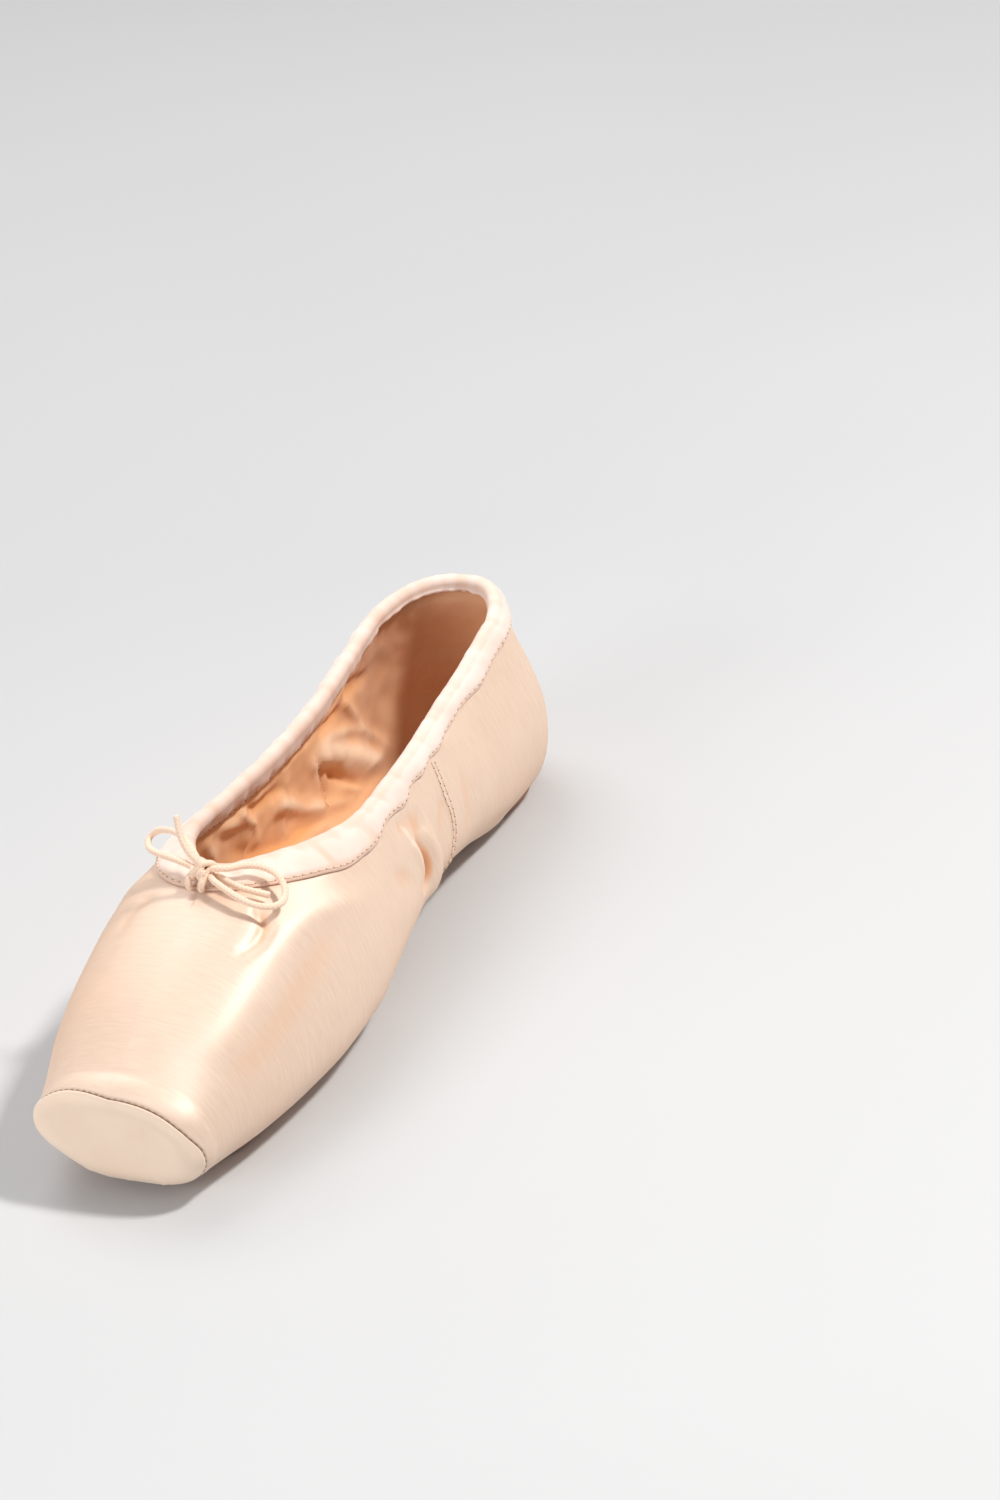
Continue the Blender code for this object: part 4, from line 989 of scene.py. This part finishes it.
def casing_profile(s, side):
    """One side's tape from its outside edge over the rim: its inner face, the way out of it and the places across."""
    q = side * rim_share(s)
    out, thick, rim = normal(s, q), wall(s, q), form(s, q)
    middle = rim - out * thick[:, None] / 2
    up = walk_from_rim(s, 1e-5, side, 1)[2]
    radius = (thick / 2 + LOOSE_GAP)[:, None]
    scallop = np.array([noise.noise(Vector((at * 78, 5.1 + side, 0.2))) for at in travel_of(rim)]) * SCALLOP
    scallop -= SEAM_TUCK * bell(rim[:, 0] - 0.061, 0.0055) * (side > 0)
    outside = tape_width(rim[:, 0]) + scallop * (0.35 + 0.65 * (1 - blend(0.085, 0.140, rim[:, 0])))
    inside = tape_inside(rim[:, 0])
    rows = []
    for part in np.linspace(1, 0, OUTSIDE_ROWS + 1)[:-1]:
        a, b, _ = walk_from_rim(s, outside * part, side)
        way = normal(a, b)
        rows.append((form(a, b) + way * LOOSE_GAP, way, -outside * part))
    for angle in np.linspace(0, math.pi, RIM_ROWS):
        way = out * math.cos(angle) + up * math.sin(angle)
        rows.append((middle + radius * way, way, np.full(s.shape, RIM_FOLD * angle / math.pi)))
    for part in np.linspace(0, 1, INSIDE_ROWS + 1)[1:]:
        a, b, _ = walk_from_rim(s, inside * part, side)
        way = -normal(a, b)
        rows.append((form(a, b) + way * (wall(a, b) + LOOSE_GAP)[:, None], way, RIM_FOLD + inside * part))
    faces, ways, place = (np.stack(column, axis=1) for column in zip(*rows))
    ends = (s <= station_of(THROAT)) | (s >= HEEL_BACK)
    faces[ends, :, 1] = ways[ends, :, 1] = 0.0
    return faces, ways, place


def casing_rows():
    """The tape's inner and outer face all round the collar, the places across it and round it, and its puckers."""
    s = collar_stations(58, 84, 44)
    left, right = casing_profile(s, 1), casing_profile(s, -1)
    faces, ways, place = (np.concatenate([one, other[-2:0:-1]]) for one, other in zip(left, right))
    rim = faces[:, OUTSIDE_ROWS + RIM_ROWS // 2]
    around = travel_of(rim)
    whole = around[-1] + np.linalg.norm(rim[0] - rim[-1])
    gathered = bell(np.minimum(around, whole - around), 0.020)
    waves = np.zeros(place.shape)
    for length, depth, turn in PUCKERS:
        lean = 1.4 * np.sin(around * 2 * math.pi / whole * 3 + turn)
        phase = (around / whole * round(whole / length) * 2 * math.pi + turn)[:, None]
        waves += depth * np.sin(phase + lean[:, None] + place * 90 * turn)
    loud = 0.7 + 0.6 * np.array([noise.noise(Vector((a * 55, 0.3, 7.7))) for a in around])
    quarter = 1 - blend(0.085, 0.130, rim[:, 0])
    outer_row, inner_row = place[:, :1] + STITCH_INSET, place[:, -1:] - STITCH_INSET
    puff_out, puff_in = (np.clip(np.sin(np.clip(share, 0, 1) * math.pi), 0, 1) ** 0.6
                         for share in ((place - outer_row) / -outer_row, (place - RIM_FOLD) / (inner_row - RIM_FOLD)))
    puff = np.where(place < 0, puff_out, np.where(place > RIM_FOLD, puff_in, 0.3))
    swell = (0.00050 + 0.00030 * quarter)[:, None]
    height = puff * (swell + waves * 0.0006 * (loud + 1.2 * gathered)[:, None])
    edge_lift = bell(place - place[:, :1], 0.0006) * np.maximum(waves, 0) * 0.0004
    sewn = 0.35 + 0.65 * blend(0, 0.0016, np.minimum(place - place[:, :1], place[:, -1:] - place))
    outer = faces + ways * (CASING_TAPE * sewn + np.maximum(height, -0.0002) + edge_lift)[..., None]
    return faces, outer, ways, place, around, puff * (swell + waves * 0.0006)


def closed(ring):
    """Rows all round the collar with the first one again at the end."""
    return np.concatenate([ring, ring[:1]])


def build_casing(finish, casing):
    faces, outer, _, place, around, puckers = casing
    # The puckers' heights go to the fold map, from which the tape's finish paints shade between them
    rows, across, folds = (closed(folded(*both)) for both in ((outer, faces), (place, place), (puckers, puckers)))
    along = np.append(around, 2 * around[-1] - around[-2])
    uv = np.stack([np.broadcast_to(along[:, None], across.shape), across], axis=-1)
    add_piece("casing_tape", grid_mesh("casing_tape", rows, uv, wrap=True, folds=folds), finish, "casing_tape",
              "collar_casing")


# ---- panels, strap and soles ----
def build_tip_panel(finish):
    shares = column_shares(12, 24, 40)
    seam = follow(TIP_SEAM, shares)
    rows = [np.full_like(shares, s) for s in (0.0, 0.08, 0.2, 0.35, 0.5, 0.65, 0.8, 0.9, 0.96)]
    grid_s = np.array([*rows, *(1 + part * (seam - 1) for part in np.linspace(0, 1, 16))])
    grid_q = np.broadcast_to(shares[None, :], grid_s.shape)
    points = form(grid_s, grid_q)
    base = GAP - PANEL_RECESS
    hem = 0.00010 * bell(seam[None, :] - grid_s, 0.05)
    uneven = relief(points, TIP_FOLDS) + soft_noise(points, 0.012, 1.4) * 0.00012 + hem
    outer, inner = skin(grid_s, grid_q, base + PANEL_CLOTH + uneven), skin(grid_s, grid_q, base)
    rows, uv = np.concatenate([outer, inner[::-1]]), np.concatenate([uv_of(outer), uv_of(inner)[::-1]])
    add_piece("tip_panel", grid_mesh("tip_panel", rows, uv), finish, "panel_cloth", "tip_cap")


def strap_station(q, places):
    """Stations at which the strap's places across it, 1 at its edge, pass the share q."""
    turns = np.linspace(HEEL_START, HEEL_BACK, 240)
    return np.interp(-STRAP_WIDTH / 2 * places, -half_form(turns, np.full(240, q))[:, 1], turns)


def strap_top(gaps):
    return walk_from_rim(np.array([HEEL_BACK]), CASING_SIDE + gaps * GAP)[1][0]


def build_strap(finish):
    low_shares = np.linspace(FLAT_SHARE, BELLY_SHARE, 200)
    behind = HEEL_REACH - half_form(np.full(200, HEEL_BACK), low_shares)[:, 0]
    bottom = float(np.interp(PATCH_BACK + 4 * GAP, behind, low_shares))
    places = np.linspace(1, 0, 13)
    hem = bell(1 - places, 0.16) * 0.00018 - bell(places - STRAP_STITCH, 0.05) * 0.00014
    outer, inner = [], []
    for q in np.linspace(bottom, strap_top(3), 56):
        stations = strap_station(q, places)
        for out, rows in ((GAP, inner), (GAP + STRAP_CLOTH + hem, outer)):
            left, right = (skin(stations, side * q, out) for side in (1, -1))
            left[-1, 1] = 0.0
            rows.append(np.concatenate([left, right[-2::-1]]))
    outer, inner = np.array(outer), np.array(inner)
    rows, uv = capped(folded(outer, inner)[::-1], folded(uv_of(outer), uv_of(inner))[::-1])
    mesh = grid_mesh("heel_strap", rows, uv, wrap=True, folds=rows[..., 0] * 0)
    add_piece("heel_strap", mesh, finish, "satin", "back_strap")


def capped(rows, uv):
    """A wrapped grid with its two ends closed by rows in which outer and inner face meet."""
    first, last = ((rows[k] + rows[k][::-1])[None] / 2 for k in (0, -1))
    return np.concatenate([first, rows, last]), np.concatenate([uv[:1], uv, uv[-1:]])


def sole_grid(stations, halves, count, distance):
    """Rows of points over a strip of the form's underside, right side to left."""
    across = np.sin(np.linspace(-math.pi / 2, math.pi / 2, count))
    rows = []
    for s, half in zip(stations, halves):
        shares = share_at(s, half * across)
        rows.append(skin(s, shares, distance(s, shares)))
    return np.array(rows)


def add_slab(name, upper_face, lower_face, uv, finish, slot, replaced):
    """A piece between two grids of points with the same outline."""
    rows, uv = capped(folded(lower_face, upper_face), folded(uv, uv))
    add_piece(name, grid_mesh(name, rows, uv, wrap=True), finish, slot, replaced)


def add_sole(name, stations, halves, lift, finish, replaced):
    """A leather sole under the form, its underside raised by what lift gives for its points."""
    top, bottom = (sole_grid(stations, halves, 91, lambda s, q: out) for out in (GAP, GAP + SOLE_THICKNESS))
    bottom[..., 2] += lift(bottom)
    add_slab(name, top, bottom, uv_of(bottom), finish, "sole_leather", replaced)


def rounded_edge(outline):
    """How far a sole's underside draws back at a distance from its outline."""
    return EDGE_DRAW * (1 - np.sqrt(1 - np.clip(1 - outline / EDGE_ROUND, 0, 1) ** 2))


def grooves(phase, first, last, depth, width):
    """Height of fine grooves, side by side, each at a whole number of a phase between two limits."""
    near = np.abs(phase - np.round(phase)) * GROOVE_PITCH
    return depth * bell(near, width) * ((phase > first) & (phase < last))


def fore_sole_lift(points):
    """The forepart sole's rounded edge, and curved grooves across its front."""
    x, y = points[..., 0], points[..., 1]
    side = np.abs(points[:, -1, 1])[:, None] - np.abs(y)
    outline = np.minimum(side, np.minimum(x - FORE_SOLE_BACK, FORE_SOLE_FRONT - x))
    curve = x + 0.0045 * np.cos(np.clip(y / 0.022, -1, 1) * math.pi / 2) + 0.10 * y
    cut = grooves((curve - 0.158) / GROOVE_PITCH, -0.5, 17.5, 0.00032, 0.00033)
    return rounded_edge(outline) + cut * blend(0.0016, 0.003, outline)


def build_fore_sole(finish):
    ease = (1 - np.cos(np.linspace(0, math.pi, 301))) / 2
    xs = FORE_SOLE_FRONT - FORE_SOLE_LENGTH * (0.35 * np.linspace(0, 1, 301) + 0.65 * ease)
    add_sole("fore_sole", station_of(xs), fore_sole_half(xs), fore_sole_lift, finish, "outsole_forepart")


def patch_lift(points):
    """The heel patch's rounded edge, the ridge under its stitches, and wavy grooves across its back."""
    x, y = points[..., 0] - HEEL_REACH, points[..., 1]
    outline = (1 - patch_reach(x, y)) * PATCH_BACK
    bend = 0.0046 * np.cos(y / 0.0125 * math.pi / 2 * 1.2) - 0.12 * y
    cut = grooves((x - 0.0035 - bend) / GROOVE_PITCH, -8.5, 0.5, 0.00036, 0.00035)
    return rounded_edge(outline) + cut * blend(0.0032, 0.0042, outline) + 0.00025 * bell(outline - PATCH_STITCH, 0.0004)


def build_heel_patch(finish):
    fronts = PATCH_FRONT * np.cos(np.linspace(0, math.pi / 2, 71))
    turned = np.array(heel_stations(48))
    turn, width = turn_of(turned), half_width(turned)
    reach = 1 / np.sqrt((np.cos(turn) / width) ** 2 + (np.sin(turn) / HEEL_REACH) ** 2)
    stations = [*station_of(HEEL_REACH + fronts), *turned]
    halves = [*(PATCH_BACK * np.sqrt(np.maximum(0.0, 1 - (fronts / PATCH_FRONT) ** 2))), *(PATCH_BACK * width / reach)]
    add_sole("heel_sole_patch", stations, halves, patch_lift, finish, "heel_patch")


def build_insole(finish):
    turns = np.linspace(0, math.pi / 2, 19)[:-1]
    rounded = INSOLE_FRONT - INSOLE_ROUND * (1 - np.cos(turns))
    straight = np.linspace(INSOLE_FRONT - INSOLE_ROUND, HEEL_REACH, 130)
    stations = np.array([*station_of(rounded), *station_of(straight), *heel_stations(36)])
    ahead = np.clip((INSOLE_FRONT - station_x(stations)) / INSOLE_ROUND, 0, 1)
    halves = INSOLE_SHARE * half_width(stations) * np.sqrt(1 - (1 - ahead) ** 2)
    under, over = (sole_grid(stations, halves, 49, lambda s, q: -wall(s, q) - LOOSE_GAP - thick)
                   for thick in (0, INSOLE_THICKNESS))
    across = np.abs(np.sin(np.linspace(-math.pi / 2, math.pi / 2, 49)))
    near_edge = np.clip((across - (1 - INSOLE_EDGE)) / INSOLE_EDGE, 0, 1)
    over[..., 2] -= EDGE_DRAW * (1 - np.sqrt(1 - near_edge**2))
    over[..., 2] += soft_noise(over, 0.018, 6.2) * 0.00025
    add_slab("insole_sock", over, under, uv_of(over), finish, "insole_cloth", "insole")


# ---- drawstring ----
# Routes in mm from the throat's front on the form, from the casing through the knot, round the loop and back
# through the knot to the cut end
LEFT_CORD = (
    (9.9, -1.9, -0.5), (10.2, -2.2, 1.0), (9.4, -2.1, 2.6), (7.6, -1.6, 3.4), (5.9, -2.8, 3.7),
    (4.7, -7.0, 4.2), (3.4, -11.2, 4.3), (1.8, -15.6, 4.1), (-0.8, -19.2, 3.9), (-3.6, -20.2, 5.1),
    (-4.4, -17.8, 6.9), (-3.2, -13.8, 8.2), (-1.2, -9.8, 8.8), (1.0, -6.6, 8.6), (2.8, -4.2, 7.7), (4.8, -1.7, 6.0),
    (6.4, 0.2, 4.2), (7.6, 1.0, 4.4), (8.0, 0.2, 7.0), (7.8, -1.6, 9.1), (6.9, -3.5, 11.7), (5.6, -4.9, 14.5),
    (4.2, -5.7, 17.5),
)

RIGHT_CORD = (
    (9.9, 1.3, -0.5), (10.3, 1.6, 1.0), (9.4, 1.9, 2.5), (7.6, 2.2, 3.3), (6.5, 3.2, 4.0),
    (6.6, 5.0, 4.5), (6.0, 7.8, 4.5), (3.4, 10.0, 4.0), (1.4, 13.0, 3.3), (0.6, 16.4, 2.2),
    (1.4, 19.8, 0.7), (3.8, 22.4, -1.4), (7.0, 23.2, -2.8), (10.2, 21.8, -2.7), (12.2, 18.8, -1.7),
    (12.6, 15.4, -0.6), (11.8, 11.6, 0.6), (10.6, 8.0, 1.7), (9.2, 5.0, 2.4), (7.0, 3.0, 2.4), (5.8, 3.6, 2.0),
    (6.3, 5.1, 1.8), (7.3, 8.4, 1.1), (8.0, 12.0, 0.4), (7.7, 15.6, -0.5), (6.6, 19.0, -1.8),
)

# The knot's last turn, in mm from its centre
KNOT_OVER = ((1.6, -2.4, -1.6), (2.5, -1.6, 0.2), (1.2, 0.2, 2.4), (-0.8, 1.9, 2.0), (-2.2, 2.4, 0.2),
             (-1.6, 2.0, -1.4))

LEFT_LENGTH, RIGHT_LENGTH = 0.0754, 0.0803


def tube_mesh(name, path, radius, sides=14):
    """A round tube along points, with a UV map in metres along and around it and domed ends."""
    ways = unit(np.gradient(path, axis=0))
    side = unit(np.cross(ways[0], (0.3, 0.2, 1.0)))
    rings, places = [], []
    angles = np.linspace(0, 2 * math.pi, sides + 1)
    radii = np.broadcast_to(radius, len(path))
    for point, way, at, size in zip(path, ways, travel_of(path), radii):
        side = unit(side - way * (side @ way))
        other = np.cross(way, side)
        rings.append(point + size * (np.cos(angles)[:, None] * side + np.sin(angles)[:, None] * other))
        places.append(np.stack([np.full(sides + 1, at), angles * size], axis=-1))
    start, end = ([path[k] + ways[k] * radii[k] * 0.35 * out + (rings[k] - path[k]) * part for part in (0.0, 0.7)]
                  for k, out in ((0, -1), (-1, 1)))
    places = [places[0], places[0], *places, places[-1], places[-1]]
    return grid_mesh(name, np.array([*start, *rings, *end[::-1]]), np.array(places))


def throat_point():
    return form(station_of(THROAT), 1.0)


def build_cord(name, route, length, finish, replaced):
    path = smooth_line(throat_point() + np.array(route) * MM, 0.0005)
    loose = 1 + 0.03 * np.sin(np.arange(len(path)) * 0.21)
    piece = add_piece(name, tube_mesh(name, path, CORD_DIAMETER / 2 * loose), finish, "cord_cotton", *replaced)


def build_knot(finish):
    """The knot's wraps: the cord twice round the bow's middle and once over it."""
    centre = throat_point() + np.array(KNOT_CENTRE)
    turns = np.linspace(0, 4.2 * math.pi, 90)
    wrap = [2.1 * np.cos(turns) + 0.2, np.linspace(-1.1, 1.2, 90), 1.75 * np.sin(turns)]
    bm = bmesh.new()
    bm.from_mesh(tube_mesh("wrap", centre + np.stack(wrap, axis=1) * MM, 0.00088, 12))
    bm.from_mesh(tube_mesh("over", smooth_line(centre + np.array(KNOT_OVER) * MM, 0.0003), 0.00085, 12))
    mesh = mesh_from(bm, "knot_wraps")
    mesh.shade_smooth()
    return add_piece("knot_wraps", mesh, finish, "cord_cotton", "drawstring_knot")


# ---- stitches ----
def stitch_tree():
    """Geometry Nodes that lay one thread stitch after another along guide lines, flat on the cloth.

    Stitches lie on every second point of the line, and dark beads painted as the shade in each needle hole, where they
    have a size, on the points between.
    """
    tree = bpy.data.node_groups.new("stitches_along", "GeometryNodeTree")

    def socket(name, kind, in_out="INPUT"):
        tree.interface.new_socket(name, in_out=in_out, socket_type="NodeSocket" + kind)

    def node(kind, output, inputs, **settings):
        return add_node(tree, kind, inputs, **settings).outputs[output]

    def maths(operation, *values):
        return node("ShaderNodeMath", 0, dict(enumerate(values)), operation=operation)

    socket("Geometry", "Geometry")
    for name in SIZES:
        socket(name, "Float")
    for name in ("Finish", "Hole shade finish"):
        socket(name, "Material")
    socket("Geometry", "Geometry", "OUTPUT")
    given = tree.nodes.new("NodeGroupInput").outputs
    line = node("GeometryNodeMeshToCurve", "Curve", {"Mesh": given["Geometry"]})
    half_pitch = maths("MULTIPLY", given["Pitch"], 0.5)
    spaced = node("GeometryNodeResampleCurve", "Curve", {"Curve": line, "Length": half_pitch}, mode="LENGTH")
    lift = node("GeometryNodeInputNamedAttribute", "Attribute", {"Name": "lift"}, data_type="FLOAT_VECTOR")
    tangent = node("GeometryNodeInputTangent", "Tangent", {})
    aligned = node("FunctionNodeAlignRotationToVector", "Rotation", {"Vector": tangent}, axis="X")
    lying = node("FunctionNodeAlignRotationToVector", "Rotation", {"Rotation": aligned, "Vector": lift}, axis="Z",
                 pivot_axis="X")
    index = node("GeometryNodeInputIndex", "Index", {})
    between = maths("FLOORED_MODULO", index, 2.0)
    on_stitch = maths("LESS_THAN", between, 0.5)
    on_hole = maths("MULTIPLY", between, maths("GREATER_THAN", given["Hole"], 0.0))
    every_other = maths("GREATER_THAN", maths("FLOORED_MODULO", index, 4.0), 1.5)
    swing = maths("MULTIPLY", maths("MULTIPLY_ADD", every_other, 2.0, -1.0), given["Zigzag"])
    turn = node("FunctionNodeAxisAngleToRotation", "Rotation",
                {"Axis": (0.0, 0.0, 1.0), "Angle": maths("ADD", swing, given["Slant"])})
    turned = node("FunctionNodeRotateRotation", "Rotation", {"Rotation": lying, "Rotate By": turn},
                  rotation_space="LOCAL")
    bead = node("GeometryNodeMeshUVSphere", "Mesh", {"Segments": 6, "Rings": 4, "Radius": 0.5})
    joined = tree.nodes.new("GeometryNodeJoinGeometry")
    for chosen, names, finish in ((on_stitch, ("Stitch length", "Thread", "Thread"), "Finish"),
                                  (on_hole, ("Hole", "Hole", "Thread"), "Hole shade finish")):
        size = node("ShaderNodeCombineXYZ", 0, {k: given[name] for k, name in enumerate(names)})
        laid = node("GeometryNodeInstanceOnPoints", "Instances", {
            "Points": spaced, "Selection": chosen, "Instance": bead, "Rotation": turned, "Scale": size})
        real = node("GeometryNodeRealizeInstances", "Geometry", {"Geometry": laid})
        part = node("GeometryNodeSetMaterial", "Geometry", {"Geometry": real, "Material": given[finish]})
        tree.links.new(part, joined.inputs["Geometry"])
    smooth = node("GeometryNodeSetShadeSmooth", "Geometry", {"Geometry": joined.outputs["Geometry"]})
    tree.links.new(smooth, tree.nodes.new("NodeGroupOutput").inputs["Geometry"])
    return tree


def stitch_piece(name, tree, lines, slot, finish, hole_shade_finish, *sizes):
    """Stitches along guide lines, each a pair of points and outward directions."""
    verts, lifts, edges = [], [], []
    for points, ways in lines:
        edges += [(len(verts) + k, len(verts) + k + 1) for k in range(len(points) - 1)]
        verts += (points - MIDDLE).tolist()
        lifts += ways.tolist()
    mesh = bpy.data.meshes.new(name)
    mesh.from_pydata(verts, edges, [])
    mesh.attributes.new("lift", "FLOAT_VECTOR", "POINT").data.foreach_set("vector", np.array(lifts).ravel())
    piece = add_object(name, mesh)
    made = piece.modifiers.new("stitches", "NODES")
    made.node_group = tree
    values = {"Finish": finish, "Hole shade finish": hole_shade_finish, **dict(zip(SIZES, sizes))}
    for item in tree.interface.items_tree:
        if item.in_out == "INPUT" and item.name in values:
            made[item.identifier] = values[item.name]
    baked(piece)
    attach(piece, "root")


def side_seam_line(side, sideways):
    """The side seam, moved sideways and laid on the satin from under the casing's edge."""
    line = smooth_line(np.array(SIDE_SEAM) * (MM, side * MM, MM), 0.0006)
    s, q = nearest_place(line, side)
    line = line + unit(np.cross(normal(s, q), np.gradient(line, axis=0))) * sideways
    s, q = nearest_place(line, side)
    clear = below_rim(s, q) > tape_width(line[:, 0]) + 0.0002
    return on_satin(s[clear], q[clear], 0.00012)


def on_satin(s, q, raised):
    """Points just over the satin's folds, with their outward directions."""
    return skin(s, q, satin_relief(s, q) + raised), normal(s, q)


def casing_lines(casing):
    """The casing's two rows of stitches, along the tape's outer and inner edge."""
    _, outer, ways, place, _, _ = casing
    for target, clear in ((place[:, 0] + STITCH_INSET, 0.00004), (place[:, -1] - STITCH_INSET, 0.00030)):
        points, lifts = (closed(np.array([[np.interp(at, row, column) for column in values.T]
                                          for at, row, values in zip(target, place, grid)])) for grid in (outer, ways))
        yield points + clear * lifts, lifts


def arch_line(half):
    """One side of the seam under the arch."""
    s = station_of(np.linspace(0.0605, 0.0985, 60))
    return on_satin(s, np.array([float(share_at(one, half)) for one in s]), 0.0001)


def strap_line(side):
    """The strap's stitches on one side."""
    shares = np.linspace(0.33, strap_top(4), 70)
    stations = np.array([float(strap_station(q, STRAP_STITCH)) for q in shares])
    return skin(stations, shares * side, GAP + STRAP_CLOTH), normal(stations, shares * side)


def patch_line():
    """The heel patch's stitches, round its underside."""
    angles = np.linspace(0, 2 * math.pi, 200)
    x, y = np.cos(angles), np.sin(angles)
    x = HEEL_REACH + x * (np.where(x > 0, PATCH_FRONT, PATCH_BACK) - PATCH_STITCH * np.where(x > 0, 1.25, 1))
    ring = np.stack([x, y * (PATCH_BACK - PATCH_STITCH), np.full_like(x, 0.00022)], axis=1)
    return ring, np.tile([0.0, 0.0, -1.0], (200, 1))


def build_stitches(tree, casing, pale, dark, hole_shade):
    shares = np.linspace(-1, 1, 200)
    tip_s = follow(TIP_SEAM, shares) + 0.5 * SEAM_STEP
    tip = skin(tip_s, shares, 0.00008), normal(tip_s, shares)
    seams = [side_seam_line(side, sideways) for side in (1, -1) for sideways in (-SEAM_HALF, SEAM_HALF)]
    for name, lines, slot, finish, hole_shade_finish, *sizes in (
        ("casing", casing_lines(casing), "casing_tape", pale, hole_shade, 0.0027, 0.0021, 0.00046, 0.00042),
        ("side_seam", seams, "satin", pale, hole_shade, 0.0023, 0.0018, 0.00044, 0.00044),
        ("tip_seam", [tip], "panel_cloth", dark, dark, 0.0019, 0.0013, 0.00024),
        ("arch_seam", map(arch_line, (0.0016, -0.0016)), "satin", pale, pale, 0.0013, 0.0024, 0.00035, 0.0, 1.57, 0.35),
        ("strap", map(strap_line, (1, -1)), "satin", pale, pale, 0.0026, 0.0020, 0.00036),
        ("patch", [patch_line()], "sole_leather", pale, pale, 0.0028, 0.0019, 0.00046),
        ("lining_seam", [on_lining(LINING_SEAM)], "insole_cloth", pale, hole_shade, 0.0022, 0.0017, 0.00030, 0.00034),
    ):
        stitch_piece(name + "_stitches", tree, lines, slot, finish, hole_shade_finish, *sizes)


def on_lining(line):
    """The points of the lining's face nearest to a line in mm, and the directions out of it."""
    s_grid = np.array([*foot_stations(0.0025), *heel_stations(30)])
    grid_s, grid_q = np.broadcast_arrays(s_grid[:, None], -np.linspace(0.25, 0.9, 200)[None, :])
    inside = skin(grid_s, grid_q, -wall(grid_s, grid_q))
    s, q = nearest_of(inside, smooth_line(np.array(line) * MM, 0.0008), grid_s, grid_q)
    ways = -normal(s, q)
    points = form(s, q) + ways * (lining_depth(s, q)[0] + 0.00025)[:, None]
    smooth = [np.convolve(np.pad(column, 3, mode="edge"), np.ones(7) / 7, "valid") for column in points.T]
    return np.stack(smooth, axis=1), ways


# ---- stage, lights and camera ----
def build_stage():
    mesh = bpy.data.meshes.new("studio_floor")
    corners = [(x * FLOOR_HALF, y * FLOOR_HALF, 0) for x, y in ((-1, -1), (1, -1), (1, 1), (-1, 1))]
    mesh.from_pydata(corners, [], [(0, 1, 2, 3)])
    floor = add_object("studio_floor", mesh)
    mesh.materials.append(floor_finish())


def add_light(name, towards, distance, size, power, tint=(1.0, 1.0, 1.0)):
    """A square soft box in a direction from the shoe, facing it."""
    light = bpy.data.lights.new(name, "AREA")
    light.shape, light.size, light.energy, light.color = "SQUARE", size, power, tint
    lamp = add_object(name, light)
    way = Vector(towards).normalized()
    lamp.location = way * distance + Vector((0, 0, 0.03))
    lamp.rotation_euler = way.to_track_quat("Z", "Y").to_euler()


# The camera's right, up and backward directions at the photograph's angle to the shoe
CAMERA_AXES = ((-0.43361, 0.88841, -0.15071), (-0.50286, -0.09978, 0.85859), (0.74774, 0.44808, 0.49001))
CAMERA_DISTANCE = 1.10252
AIM = (0.00035, 0.0, 0.03)
AIM_PIXEL = (309.558, 861.468)
FOCAL_PIXELS = 4045.95
FRAME_PIXELS = (1000, 1500)
SENSOR = 36.0


def build_camera():
    right, up, back = (np.array(axis) for axis in CAMERA_AXES)
    place = np.array(AIM) + back * CAMERA_DISTANCE
    off = right * (FRAME_PIXELS[0] / 2 - AIM_PIXEL[0]) + up * (AIM_PIXEL[1] - FRAME_PIXELS[1] / 2)
    back = unit(back - off / FOCAL_PIXELS)
    right = unit(np.cross(up, back))
    camera = bpy.data.cameras.new("camera")
    camera.sensor_fit, camera.sensor_width, camera.clip_start = "AUTO", SENSOR, 0.01
    camera.lens = SENSOR * FOCAL_PIXELS / FRAME_PIXELS[1]
    lens = add_object("camera", camera)
    columns = np.stack([right, np.cross(back, right), back, place], axis=1)
    lens.matrix_world = Matrix([*columns.tolist(), (0, 0, 0, 1)])
    bpy.context.scene.camera = lens


def build_world():
    world = bpy.data.worlds.new("studio")
    bpy.context.scene.world = world
    world.use_nodes = True
    background = world.node_tree.nodes["Background"].inputs
    background["Color"].default_value, background["Strength"].default_value = (0.92, 0.93, 0.95, 1.0), 0.40
    bpy.context.scene.view_settings.view_transform = "Standard"


def build_lights():
    add_light("key", (-0.22, 0.55, 0.81), 1.5, 0.17, 18.5, (1.0, 0.98, 0.95))
    add_light("overhead", (-0.42, -0.45, 0.79), 1.4, 0.9, 8.5)
    add_light("front_fill", (1.0, -0.45, 0.42), 1.6, 0.9, 9.8)


def main():
    satin, lining = satin_finish(), lining_finish()
    tape, cord = tape_finish(), cord_finish()
    leather = leather_finish()
    pale = thread_finish("seam_thread", (0.76, 0.55, 0.40), (0.90, 0.71, 0.56))
    dark = thread_finish("tip_thread", (0.22, 0.14, 0.10), (0.36, 0.24, 0.17))
    # Painted shade: dark beads at each needle hole stand in for the shade inside it
    hole_shade = thread_finish("needle_hole_shade", (0.34, 0.18, 0.10), (0.46, 0.27, 0.16))
    build_camera()
    build_world()
    build_lights()
    build_stage()
    knot = build_knot(cord)
    build_cord("drawstring_left", LEFT_CORD, LEFT_LENGTH, cord, ("drawstring_loop_left", "drawstring_end_up"))
    build_cord("drawstring_right", RIGHT_CORD, RIGHT_LENGTH, cord, ("drawstring_loop_right", "drawstring_end_side"))
    build_upper(satin)
    build_lining(lining)
    casing = casing_rows()
    build_casing(tape, casing)
    build_tip_panel(panel_finish())
    build_strap(satin)
    build_fore_sole(leather)
    build_heel_patch(leather)
    build_insole(insole_finish())
    build_stitches(stitch_tree(), casing, pale, dark, hole_shade)


main()
